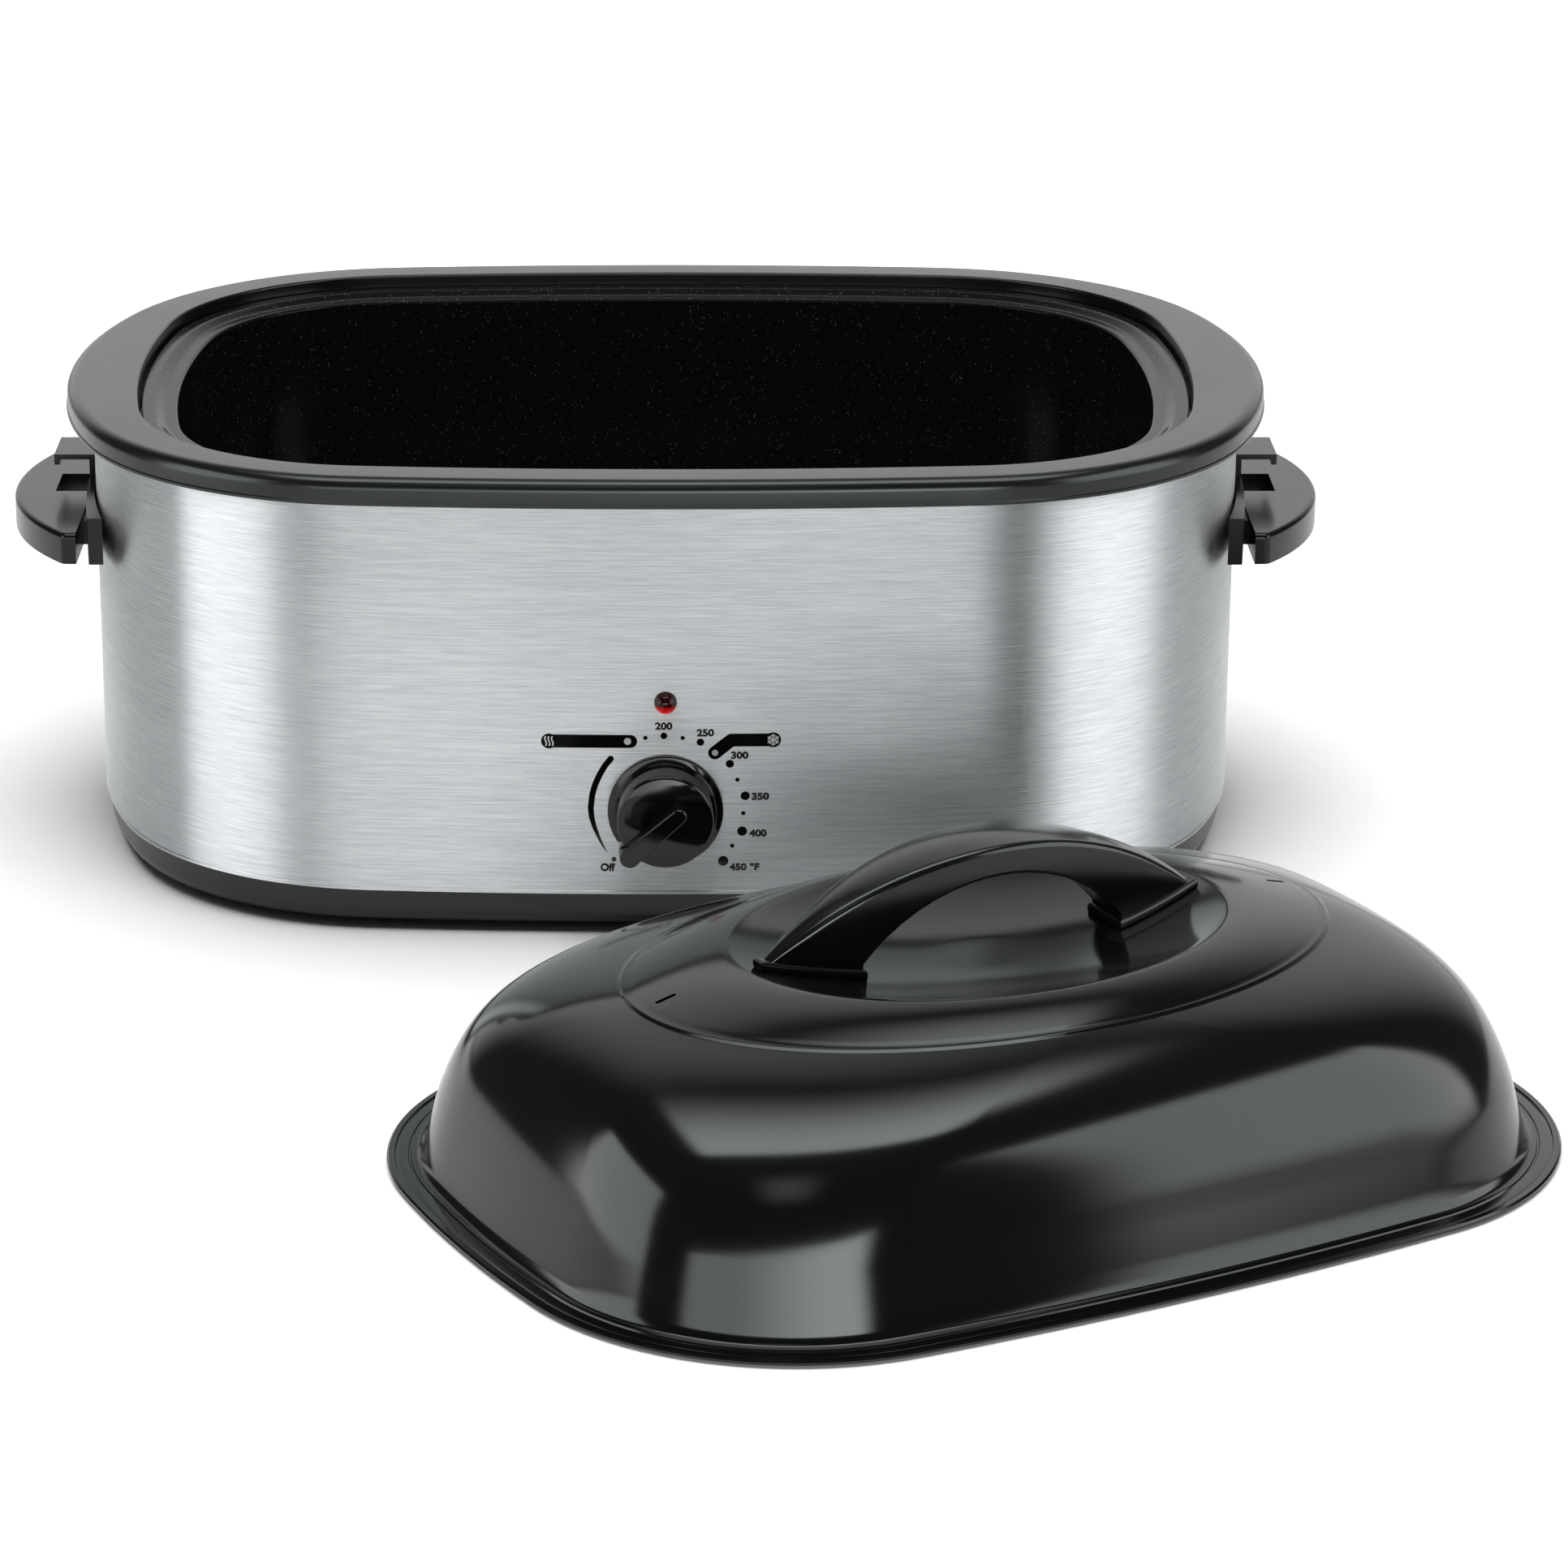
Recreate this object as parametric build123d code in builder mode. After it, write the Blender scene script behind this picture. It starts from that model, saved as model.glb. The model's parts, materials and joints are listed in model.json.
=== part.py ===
"""Electric roaster oven: steel body, lift-out pan and rack, loose domed lid, dial thermostat.

Frame: millimetres, origin on the counter under the middle of the oven, +X to the right along the
long side, the dial facing -Y, +Z up. The lid lies on the counter in front of the oven.
"""
from build123d import *
from math import acos, atan2, cos, hypot, pi, radians, sin, sqrt
import os

os.makedirs("parts", exist_ok=True)


# ---- plan outlines ---------------------------------------------------------------------------

class Outline:
    """A closed plan outline of eight tangent arcs: two bows, four corners and two ends."""

    def __init__(self, half_length, half_depth, bow, corner, end):
        self.half_length = half_length
        self.half_depth = half_depth
        self.bow = bow
        self.corner = corner
        self.end = end
        self.bow_y = half_depth - bow
        self.end_x = half_length - end
        # the corner's centre lies at one distance from the bow's centre, at another from the end's
        run = bow - corner
        reach = (end - corner) ** 2 - run**2 - self.end_x**2 - self.bow_y**2
        spread = acos(reach / (2 * run * hypot(self.end_x, self.bow_y)))
        self.turn_in = atan2(-self.end_x, self.bow_y) - spread
        self.corner_x = run * sin(self.turn_in)
        self.corner_y = self.bow_y + run * cos(self.turn_in)
        self.turn_out = atan2(self.corner_x - self.end_x, self.corner_y)

    def inset(self, distance):
        """The same outline moved inwards; a negative distance moves it outwards."""
        return Outline(
            self.half_length - distance,
            self.half_depth - distance,
            self.bow - distance,
            self.corner - distance,
            self.end - distance,
        )

    def x_at(self, y):
        """How far the end arc stands out at this depth."""
        return self.end_x + sqrt(self.end**2 - y**2)

    def y_at(self, x):
        """How far the bow stands out at this length."""
        return self.bow_y + sqrt(self.bow**2 - x**2)

    def reach_at(self, x):
        """Half the outline's depth at this length, whichever arc is there."""
        x = abs(x)
        if x <= self.bow * sin(self.turn_in):
            return self.y_at(x)
        if x <= self.corner_x + self.corner * sin(self.turn_out):
            return self.corner_y + sqrt(self.corner**2 - (x - self.corner_x) ** 2)
        return sqrt(self.end**2 - (x - self.end_x) ** 2)

    def point(self, turn):
        """The point of the first quarter whose outward normal is turned this far from +Y."""
        if turn <= self.turn_in:
            centre = (0, self.bow_y)
            radius = self.bow
        elif turn <= self.turn_out:
            centre = (self.corner_x, self.corner_y)
            radius = self.corner
        else:
            centre = (self.end_x, 0)
            radius = self.end
        return (centre[0] + radius * sin(turn), centre[1] + radius * cos(turn))

    def draw(self):
        """Draw the eight arcs in the line builder that is open."""
        half_bow = self.turn_in * 180 / pi
        side = self.turn_out * 180 / pi
        half_end = 90 - side
        sweep = side - half_bow
        CenterArc((0, self.bow_y), self.bow, 90 - half_bow, 2 * half_bow)
        CenterArc((-self.corner_x, self.corner_y), self.corner, 90 + half_bow, sweep)
        CenterArc((-self.end_x, 0), self.end, 180 - half_end, 2 * half_end)
        CenterArc((-self.corner_x, -self.corner_y), self.corner, 180 + half_end, sweep)
        CenterArc((0, -self.bow_y), self.bow, 270 - half_bow, 2 * half_bow)
        CenterArc((self.corner_x, -self.corner_y), self.corner, 270 + half_bow, sweep)
        CenterArc((self.end_x, 0), self.end, -half_end, 2 * half_end)
        CenterArc((self.corner_x, self.corner_y), self.corner, half_end, sweep)


class Oval:
    """An ellipse with the same way of naming a point as an outline has."""

    def __init__(self, half_length, half_depth):
        self.half_length = half_length
        self.half_depth = half_depth

    def point(self, turn):
        scale_by = hypot(self.half_length * sin(turn), self.half_depth * cos(turn))
        return (
            self.half_length**2 * sin(turn) / scale_by,
            self.half_depth**2 * cos(turn) / scale_by,
        )


# ---- driving dimensions ----------------------------------------------------------------------

FIT = 0.02                   # radial play of pressed and threaded parts
PLAY = 0.05                  # radial play of the turning shaft
NEAR = 0.15                  # gap left between curved faces that lie on each other
SEAT = 0.3                   # gap under a piece that only rests and lifts off

# top ring and its opening
RING = Outline(280.5, 205.0, 1670.0, 147.7, 293.0)
OPENING = Outline(246.2, 183.2, 1600.0, 114.7, 552.0)
RING_TOP = 215.0
SKIRT_HEIGHT = 12.3
RING_WALL = 3.0
RING_ROOF = 3.5
RING_EDGE = 5.3
RING_LIP = 1.2
LEDGE_DROP = 14.0            # from the ring's top to its inner ledge
LEDGE_THICK = 3.0
LEDGE_WIDTH = 8.0
RIB = 2.0

# steel wrap
WRAP_INSET = 11.8
WRAP_SHEET = 0.8
WRAP_BOTTOM = 20.0
WRAP_FLANGE = 6.2
WRAP_SEAM = 0.1              # gap between the two strips at the middle of each end
SLOT_PLAY = 0.4

# base tray and feet
FOOT_HEIGHT = 3.0
FOOT_RADIUS = 12.0
FOOT_X = 185.0
FOOT_Y = 120.0
STEM_RADIUS = 3.4
TRAY_STEP = 2.0              # how far the tray stands in from the steel
TRAY_WALL = 3.0
TRAY_FLOOR = 2.5
TRAY_EDGE = 8.0
TRAY_RIB = 6.0
VENT_LENGTH = 44.0
VENT_WIDTH = 4.0
VENT_PITCH = 12.0

# tie rods between base and ring
ROD_RADIUS = 2.0
ROD_X = 248.5
ROD_Y = 60.0
ROD_HEAD_RADIUS = 3.6
ROD_HEAD = 3.4
ROD_BOSS = 5.0
ROD_BITE = 9.0

# liner well
LINER_GAP = 12.0             # the well's outer face in from the ring's opening
LINER_SHEET = 0.8
LINER_UNDER = 7.8            # the well's floor below the pan's floor
LINER_CORNER = 24.0
FLANGE_EDGE = 1.0
LINER_SCREW_X = 90.0
LINER_SCREW_IN = 5.5
LINER_SCREW_RADIUS = 1.5
LINER_SCREW_HEAD = 2.4
LINER_SCREW_HEIGHT = 1.6
LINER_SCREW_LENGTH = 8.0

# pan
PAN_SHEET = 1.2
PAN_RIM_IN = 1.5             # the rim's edge in from the ring's opening
PAN_RIM_DROP = 6.0           # the rim's top below the ring's top
PAN_RIM_WIDTH = 6.5
PAN_SLOPE_WIDTH = 4.0
PAN_SLOPE_DROP = 2.5
PAN_SEAT_WIDTH = 6.5
PAN_FLOOR = 69.0             # the pan's floor above the counter
PAN_DRAFT = 6.0
PAN_CORNER = 26.0

# roasting rack
RACK_IN = 58.0               # the rack's loop in from the ring's opening
RACK_HEIGHT = 14.0
LOOP_WIRE = 2.5
CROSS_WIRE = 1.6
CROSS_PITCH = 26.0
LEG_X = 130.0
LEG_WIRE = 2.2
GRIP_WIRE = 2.0
GRIP_HALF = 34.0
GRIP_RISE = 62.0
GRIP_LEAN = 14.0
GRIP_TAIL = 34.0

# heating bands, clips, ceramic terminal and insulation
BAND_THICK = 2.3
BAND_HEIGHT = 10.0
BAND_LEVELS = (86.0, 126.0)
BAND_END = 12.0              # half the gap between the bands' ends at the back
CLIP_SHEET = 0.8
CLIP_WIDTH = 12.0
CLIP_OVER = 4.0
CLIP_X = 120.0
TERMINAL_HALF = 9.0
TERMINAL_DEPTH = 6.0
BLANKET_THICK = 7.0
BLANKET_BOTTOM = 84.0
BLANKET_DROP = 25.0          # the blanket's top below the ring's top
WINDOW_HALF = 15.0
WINDOW_RISE = 14.0

# dial, thermostat and knob
DIAL_Z = 60.7
THERMOSTAT_WIDTH = 34.0
THERMOSTAT_DEPTH = 16.0
BRACKET_SIZE = 46.0
BRACKET_SHEET = 1.2
BUSH_RADIUS = 5.0
BUSH_REACH = 4.0
NUT_FLATS = 14.0
NUT_THICK = 2.5
SHAFT_RADIUS = 3.0
SHAFT_REACH = 20.0
SHAFT_FLAT = 0.8
KNOB_GAP = 0.8
KNOB_RADIUS = 25.75
KNOB_RIM = 3.2
KNOB_WAIST = 22.6
KNOB_COVE = 1.2
KNOB_FACE_RADIUS = 21.2
KNOB_FACE = 18.5
KNOB_DISH = 1.5
KNOB_HOLLOW = 17.5
KNOB_HOLLOW_DEPTH = 13.0
KNOB_HUB = 6.0
POINTER_WIDTH = 10.6
POINTER_TIP = 26.8
POINTER_TAIL = 12.7
POINTER_ANGLE = 43.5
POINTER_ROOT = 17.2
POINTER_LOW = 23.6
POINTER_HIGH = 28.2
POINTER_DRAFT = 9.0

# pilot light
PILOT_Z = 110.6
LENS_RADIUS = 5.1
LENS_DOME = 4.4
LENS_RIM = 1.2
LENS_STEM = 3.95
LENS_STEM_LENGTH = 10.0
LENS_BORE = 2.7
LAMP_RADIUS = 2.5
LAMP_LENGTH = 13.0
RETAINER_RADIUS = 7.0
RETAINER_SHEET = 0.8

# cord entry at the back
GLAND_Z = 42.0
GLAND_RADIUS = 7.0
GLAND_FLANGE = 10.5
GLAND_FLANGE_THICK = 3.5
GLAND_LENGTH = 14.0
GLAND_BORE = 3.75
GLAND_NUT = 10.0
GLAND_NUT_THICK = 4.0

# wiring under the well
SHIELD_X = 165.0
SHIELD_Y = 108.0
SHIELD_Z = 30.0
SHIELD_SHEET = 0.6
SHIELD_POST_X = 150.0
SHIELD_POST_Y = 95.0
SHIELD_POST = 4.5
SHIELD_SCREW = 1.5
SHIELD_SCREW_HEAD = 3.2
TERMINAL_BLOCK = (40.0, 16.0, 14.0)
TERMINAL_BLOCK_Y = 150.0
LEAD_RADIUS = 1.2
LEAD_LEVEL = 47.0
LEAD_X = 12.0
LEAD_BEND = 9.0
BULB_RADIUS = 3.0
BULB_LENGTH = 60.0
BULB_Y = -110.0
CAPILLARY_RADIUS = 0.8
FUSE_RADIUS = 3.0
FUSE_LENGTH = 16.0
FUSE_RUN = 16.0              # its leads' straight runs
FUSE_SLOPE = 18.0            # and how far they take to come down to the other leads
STRAP_SHEET = 0.8
STRAP_WIDTH = 6.0

# side handles
GRIP_DROP = 58.0             # the grip's top below the ring's top
GRIP_THICK = 14.5
GRIP_OUT = 2.8               # the plate's outer face out from the steel
GRIP_DEPTH = 36.5            # the grip's reach out from the plate, at its middle
GRIP_TIP_DEPTH = 5.5         # and at its ends
GRIP_HALF_LENGTH = 87.0
PLATE_BOW = 611.0
PLATE_OVERHANG = 1.0         # the plate past the grip at each end
PLATE_RISE = 7.5             # the plate's top above the grip's top
WEB_HALF = 60.0
WEB_DROP = 1.5
WEB_THICK = 5.0
POST_HALF = 15.5
SHELF_RISE = 18.0            # the lid shelf's top above the grip's top
SHELF_THICK = 2.5
SHELF_DEPTH = 16.5           # the lid shelf's reach out from the plate
SHELF_LIP = 2.5
NOTCH_HALF = 15.0
GRIP_RIB = 2.5
GRIP_RIBS = (32.0, 57.0)
GRIP_SCREW_Y = 30.0
GRIP_SCREW_DROP = 7.0        # the screws below the grip's top
GRIP_SCREW_RADIUS = 2.0
GRIP_SCREW_BITE = 11.0
GRIP_SCREW_HEAD = 3.8
GRIP_SCREW_HEAD_HEIGHT = 2.6
BACKING_HALF = 42.0
BACKING_HEIGHT = 16.0
BACKING_SHEET = 1.5

# lid, modelled about its own middle and then laid on the counter
LID = Outline(232.0, 168.0, 1600.0, 118.0, 600.0)
LID_X = 125.8
LID_Y = -428.9
LID_TURN = 27.7
LID_SHEET = 1.0
LID_FLANGE_TOP = 2.6
LID_FOOT_IN = 13.4
LID_WALL_IN = 21.3
LID_WALL_TOP = 28.6
LID_WALL_LEAN = 16.0
RIDGE = Oval(153.0, 96.5)
RIDGE_Z = 85.5
RIDGE_SLOPE = 75.0           # how far round the shoulder turns before it meets the ridge, degrees
WELL = Oval(107.6, 76.0)
WELL_Z = 95.0
CAP_SLOPE = 82.0
WELL_LAND = 1.0
BOWL_DEPTH = 14.0
VENT_X = 142.0
VENT_SLOT = (9.0, 2.2)

# lid handle
BAR_HALF_LENGTH = 101.0
BAR_HALF_WIDTH = 16.0
BAR_TIP = 2.0
BAR_TOP = 134.0
BAR_TIP_Z = 95.0
BAR_UNDER = 120.5
BAR_FOOT = 60.0
BAR_FOOT_Z = 91.0
BAR_EDGE = 1.2
LID_SCREW_X = 80.0
LID_SCREW_RADIUS = 2.0
LID_SCREW_BITE = 8.0
LID_SCREW_HEAD = 4.0
LID_SCREW_HEAD_HEIGHT = 2.4
LID_WASHER_RADIUS = 6.5
LID_WASHER = 1.0


# ---- worked out from the values above --------------------------------------------------------

SKIRT_BOTTOM = RING_TOP - SKIRT_HEIGHT
CHANNEL_TOP = RING_TOP - RING_ROOF
LEDGE_TOP = RING_TOP - LEDGE_DROP
LEDGE_BOTTOM = LEDGE_TOP - LEDGE_THICK
WRAP = RING.inset(WRAP_INSET)
WRAP_TOP = CHANNEL_TOP - 0.1
WRAP_BACK = WRAP.inset(WRAP_SHEET)
PANEL = -WRAP.half_depth     # y of the steel's front face at the dial
PANEL_BACK = -WRAP_BACK.half_depth
REAR = WRAP.half_depth
REAR_BACK = WRAP_BACK.half_depth
TRAY = WRAP.inset(TRAY_STEP)
TRAY_TOP = WRAP_BOTTOM
LINER = OPENING.inset(LINER_GAP)
PAN_TOP = RING_TOP - PAN_RIM_DROP
PAN_RIM = OPENING.inset(PAN_RIM_IN)
PAN_RIM_INNER = PAN_RIM.inset(PAN_RIM_WIDTH)
PAN_SEAT_OUTER = PAN_RIM_INNER.inset(PAN_SLOPE_WIDTH)
PAN_MOUTH = PAN_SEAT_OUTER.inset(PAN_SEAT_WIDTH)
PAN_FOOT = PAN_MOUTH.inset(PAN_DRAFT)
PAN_SEAT_Z = PAN_TOP - PAN_SLOPE_DROP
LINER_FLOOR = PAN_FLOOR - LINER_UNDER
FLANGE_TOP = LEDGE_TOP + LINER_SHEET
BAND_GAP = 0.1
BAND_FACE = LINER.inset(-BAND_GAP - BAND_THICK)
CLIP_INNER = BAND_FACE.inset(-BAND_GAP)
CLIP_OUTER = CLIP_INNER.inset(-CLIP_SHEET)
BLANKET_INNER = CLIP_OUTER.inset(-SEAT)
BLANKET_OUTER = BLANKET_INNER.inset(-BLANKET_THICK)
BLANKET_TOP = RING_TOP - BLANKET_DROP
GRIP_TOP = RING_TOP - GRIP_DROP
GRIP_BOTTOM = GRIP_TOP - GRIP_THICK
GRIP_INNER = WRAP.half_length + GRIP_OUT
GRIP_REACH = GRIP_INNER + GRIP_DEPTH
GRIP_SAGITTA = GRIP_DEPTH - GRIP_TIP_DEPTH
GRIP_BOW = (GRIP_HALF_LENGTH**2 + GRIP_SAGITTA**2) / (2 * GRIP_SAGITTA)
GRIP_SCREW_Z = GRIP_TOP - GRIP_SCREW_DROP
PLATE_HALF = GRIP_HALF_LENGTH + PLATE_OVERHANG
PLATE_TOP = GRIP_TOP + PLATE_RISE
SHELF_TOP = GRIP_TOP + SHELF_RISE
SHELF_REACH = GRIP_INNER + SHELF_DEPTH
KNOB_BACK = -PANEL + KNOB_GAP
LID_PLACE = Location((LID_X, LID_Y, 0), (0, 0, LID_TURN))
BOWL_EDGE = Oval(WELL.half_length - WELL_LAND, WELL.half_depth - WELL_LAND)
BOWL_RADIUS = (BOWL_EDGE.half_length**2 + BOWL_DEPTH**2) / (2 * BOWL_DEPTH)
BOWL_CENTRE = WELL_Z + BOWL_RADIUS - BOWL_DEPTH
BOWL_SQUEEZE = BOWL_EDGE.half_depth / BOWL_EDGE.half_length


# ---- helpers ---------------------------------------------------------------------------------

def face(outline, height):
    """A flat face with this outline at this height."""
    with BuildSketch(Plane.XY.offset(height)) as flat:
        with BuildLine():
            outline.draw()
        make_face()
    return flat.sketch


def prism(outline, bottom, top, mode=Mode.ADD):
    """A straight-sided block with this plan outline."""
    extrude(face(outline, bottom), amount=top - bottom, mode=mode)


def band(outer, inner, bottom, top, mode=Mode.ADD):
    """An upright wall between two plan outlines."""
    with BuildSketch(Plane.XY.offset(bottom)) as flat:
        with BuildLine():
            outer.draw()
        make_face()
        with BuildLine():
            inner.draw()
        make_face(mode=Mode.SUBTRACT)
    extrude(flat.sketch, amount=top - bottom, mode=mode)


def strap(outer, inner, bottom, top, centre, size):
    """The part of an upright wall that lies inside one plan rectangle."""
    with BuildSketch(Plane.XY.offset(bottom)) as flat:
        with BuildLine():
            outer.draw()
        make_face()
        with BuildLine():
            inner.draw()
        make_face(mode=Mode.SUBTRACT)
        with Locations(centre):
            Rectangle(*size, mode=Mode.INTERSECT)
    extrude(flat.sketch, amount=top - bottom)


def taper(low, bottom, high, top, mode=Mode.ADD):
    """A block whose sides run straight from one plan outline to another."""
    loft([face(low, bottom), face(high, top)], ruled=True, mode=mode)


def rod(start, direction, radius, length, mode=Mode.ADD):
    """A round bar, or a bore, from a start point along a direction."""
    with Locations(Plane(origin=start, z_dir=direction)):
        Cylinder(radius, length, align=(Align.CENTER, Align.CENTER, Align.MIN), mode=mode)


def block(low, high, mode=Mode.ADD):
    """A box between two opposite corners."""
    with Locations(low):
        Box(*(b - a for a, b in zip(low, high)), align=(Align.MIN,) * 3, mode=mode)


def tube(points, radius, bend):
    """A round wire along straight runs joined by arcs of one radius."""
    with BuildLine() as path:
        FilletPolyline(*points, radius=bend)
    with BuildSketch(Plane(origin=path.line @ 0, z_dir=path.line % 0)) as section:
        Circle(radius)
    sweep(section.sketch, path=path.line)


def four(x, y):
    """The four mirrored places of one plan point."""
    return [(sx * x, sy * y) for sx in (-1, 1) for sy in (-1, 1)]


# ---- top ring: moulded ring with a slot for the steel and a ledge for the well ---------------

LINER_SCREW_PLACES = [
    (sx * LINER_SCREW_X, sy * OPENING.inset(LINER_SCREW_IN).y_at(LINER_SCREW_X))
    for sx in (-1, 1)
    for sy in (-1, 1)
] + [(sx * OPENING.inset(LINER_SCREW_IN).half_length, 0) for sx in (-1, 1)]

with BuildPart() as top_ring:
    prism(RING, SKIRT_BOTTOM, RING_TOP)
    fillet(top_ring.edges().group_by(Axis.Z)[-1], RING_EDGE)
    prism(OPENING, SKIRT_BOTTOM, RING_TOP, Mode.SUBTRACT)
    opening_edge = top_ring.faces().sort_by(Axis.Z)[-1].inner_wires()[0].edges()
    fillet(opening_edge, RING_LIP)
    band(RING.inset(RING_WALL), OPENING.inset(-RING_WALL), SKIRT_BOTTOM, CHANNEL_TOP, Mode.SUBTRACT)
    # the two ribs that hold the steel's top edge between them
    outer_rib = RING.inset(WRAP_INSET - SLOT_PLAY)
    inner_rib = RING.inset(WRAP_INSET + WRAP_SHEET + SLOT_PLAY)
    band(outer_rib.inset(-RIB), outer_rib, SKIRT_BOTTOM, CHANNEL_TOP)
    band(inner_rib, inner_rib.inset(RIB), LEDGE_BOTTOM, CHANNEL_TOP)
    # inner wall and the ledge that carries the well's flange
    band(OPENING.inset(-RING_WALL), OPENING, LEDGE_BOTTOM, SKIRT_BOTTOM)
    band(OPENING, OPENING.inset(LEDGE_WIDTH), LEDGE_BOTTOM, LEDGE_TOP)
    for x, y in LINER_SCREW_PLACES:
        rod((x, y, LEDGE_BOTTOM), (0, 0, -1), RING_WALL, LINER_SCREW_LENGTH - LEDGE_THICK)
    for x, y in four(ROD_X, ROD_Y):
        rod((x, y, LEDGE_BOTTOM), (0, 0, 1), ROD_BOSS, CHANNEL_TOP - LEDGE_BOTTOM)
    for x, y in four(ROD_X, ROD_Y):
        rod((x, y, LEDGE_BOTTOM), (0, 0, 1), ROD_RADIUS + FIT, ROD_BITE + 1, Mode.SUBTRACT)
    for x, y in LINER_SCREW_PLACES:
        bore = LINER_SCREW_RADIUS + FIT
        rod((x, y, FLANGE_TOP), (0, 0, -1), bore, LINER_SCREW_LENGTH + 1, Mode.SUBTRACT)
top_ring.part.label = "top_ring"
export_step(top_ring.part, "parts/top_ring.step")


# ---- steel wrap ------------------------------------------------------------------------------

with BuildPart() as steel_band:
    band(WRAP, WRAP_BACK, WRAP_BOTTOM, WRAP_TOP)
    band(WRAP, WRAP.inset(WRAP_FLANGE), WRAP_BOTTOM, WRAP_BOTTOM + WRAP_SHEET)
    through = 4 * WRAP_SHEET
    rod((0, PANEL - WRAP_SHEET, DIAL_Z), (0, 1, 0), BUSH_RADIUS + NEAR, through, Mode.SUBTRACT)
    rod((0, PANEL - WRAP_SHEET, PILOT_Z), (0, 1, 0), LENS_STEM + NEAR, through, Mode.SUBTRACT)
    rod((0, REAR + WRAP_SHEET, GLAND_Z), (0, -1, 0), GLAND_RADIUS + NEAR, through, Mode.SUBTRACT)
    for side in (-1, 1):
        for y in (-GRIP_SCREW_Y, GRIP_SCREW_Y):
            start = (side * WRAP_BACK.inset(WRAP_SHEET).x_at(GRIP_SCREW_Y), y, GRIP_SCREW_Z)
            rod(start, (side, 0, 0), GRIP_SCREW_RADIUS + NEAR, through, Mode.SUBTRACT)

# the band is two strips that butt at the middle of each end, behind the side handles
with BuildPart() as outer_wrap_front:
    add(steel_band.part)
    split(bisect_by=Plane(origin=(0, -WRAP_SEAM / 2, 0), z_dir=(0, -1, 0)), keep=Keep.TOP)
outer_wrap_front.part.label = "outer_wrap_front"
export_step(outer_wrap_front.part, "parts/outer_wrap_front.step")

with BuildPart() as outer_wrap_rear:
    add(steel_band.part)
    split(bisect_by=Plane(origin=(0, WRAP_SEAM / 2, 0), z_dir=(0, 1, 0)), keep=Keep.TOP)
outer_wrap_rear.part.label = "outer_wrap_rear"
export_step(outer_wrap_rear.part, "parts/outer_wrap_rear.step")


# ---- base tray -------------------------------------------------------------------------------

tray_rib = WRAP.inset(WRAP_FLANGE + SLOT_PLAY)
floor_top = FOOT_HEIGHT + TRAY_FLOOR

with BuildPart() as tray_cavity:
    prism(TRAY.inset(TRAY_WALL), floor_top, TRAY_TOP)
    fillet(tray_cavity.edges().group_by(Axis.Z)[0], TRAY_EDGE - TRAY_WALL)

with BuildPart() as base_tray:
    prism(TRAY, FOOT_HEIGHT, TRAY_TOP)
    fillet(base_tray.edges().group_by(Axis.Z)[0], TRAY_EDGE)
    add(tray_cavity.part, mode=Mode.SUBTRACT)
    # rib inside the steel's turned-in flange
    band(tray_rib, tray_rib.inset(RIB), floor_top - 1, TRAY_TOP + TRAY_RIB)
    for x, y in four(ROD_X, ROD_Y):
        rod((x, y, FOOT_HEIGHT + TRAY_FLOOR), (0, 0, 1), ROD_BOSS + RIB, TRAY_TOP - floor_top)
    for x, y in four(SHIELD_POST_X, SHIELD_POST_Y):
        rod((x, y, floor_top), (0, 0, 1), SHIELD_POST, SHIELD_Z - floor_top)
    for x, y in four(ROD_X, ROD_Y):
        rod((x, y, FOOT_HEIGHT), (0, 0, 1), ROD_HEAD_RADIUS + NEAR, ROD_HEAD + 1, Mode.SUBTRACT)
        rod((x, y, FOOT_HEIGHT), (0, 0, 1), ROD_RADIUS + NEAR, TRAY_TOP, Mode.SUBTRACT)
    for x, y in four(SHIELD_POST_X, SHIELD_POST_Y):
        rod((x, y, SHIELD_Z), (0, 0, -1), SHIELD_SCREW + FIT, 10, Mode.SUBTRACT)
    for x, y in four(FOOT_X, FOOT_Y):
        rod((x, y, FOOT_HEIGHT), (0, 0, 1), STEM_RADIUS + FIT, TRAY_FLOOR, Mode.SUBTRACT)
    with BuildSketch(Plane.XY.offset(FOOT_HEIGHT)):
        with GridLocations(2 * VENT_LENGTH, VENT_PITCH, 2, 7):
            SlotOverall(VENT_LENGTH, VENT_WIDTH)
    extrude(amount=TRAY_FLOOR, mode=Mode.SUBTRACT)
base_tray.part.label = "base_tray"
export_step(base_tray.part, "parts/base_tray.step")

with BuildPart() as rubber_feet:
    for x, y in four(FOOT_X, FOOT_Y):
        rod((x, y, 0), (0, 0, 1), FOOT_RADIUS, FOOT_HEIGHT)
    chamfer(rubber_feet.edges().group_by(Axis.Z)[0], 1.0)
    for x, y in four(FOOT_X, FOOT_Y):
        rod((x, y, FOOT_HEIGHT), (0, 0, 1), STEM_RADIUS, TRAY_FLOOR)
        rod((x, y, floor_top), (0, 0, 1), STEM_RADIUS + 1, 2.0)
rubber_feet.part.label = "rubber_feet"
export_step(rubber_feet.part, "parts/rubber_feet.step")

with BuildPart() as tie_rods:
    for x, y in four(ROD_X, ROD_Y):
        rod((x, y, FOOT_HEIGHT + 1), (0, 0, 1), ROD_HEAD_RADIUS, ROD_HEAD)
        top = LEDGE_BOTTOM + ROD_BITE
        rod((x, y, FOOT_HEIGHT + 1), (0, 0, 1), ROD_RADIUS, top - FOOT_HEIGHT - 1)
tie_rods.part.label = "tie_rods"
export_step(tie_rods.part, "parts/tie_rods.step")


# ---- liner well and its screws ---------------------------------------------------------------

with BuildPart() as well_cavity:
    prism(LINER.inset(LINER_SHEET), LINER_FLOOR + LINER_SHEET, FLANGE_TOP)
    fillet(well_cavity.edges().group_by(Axis.Z)[0], LINER_CORNER - LINER_SHEET)

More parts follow.
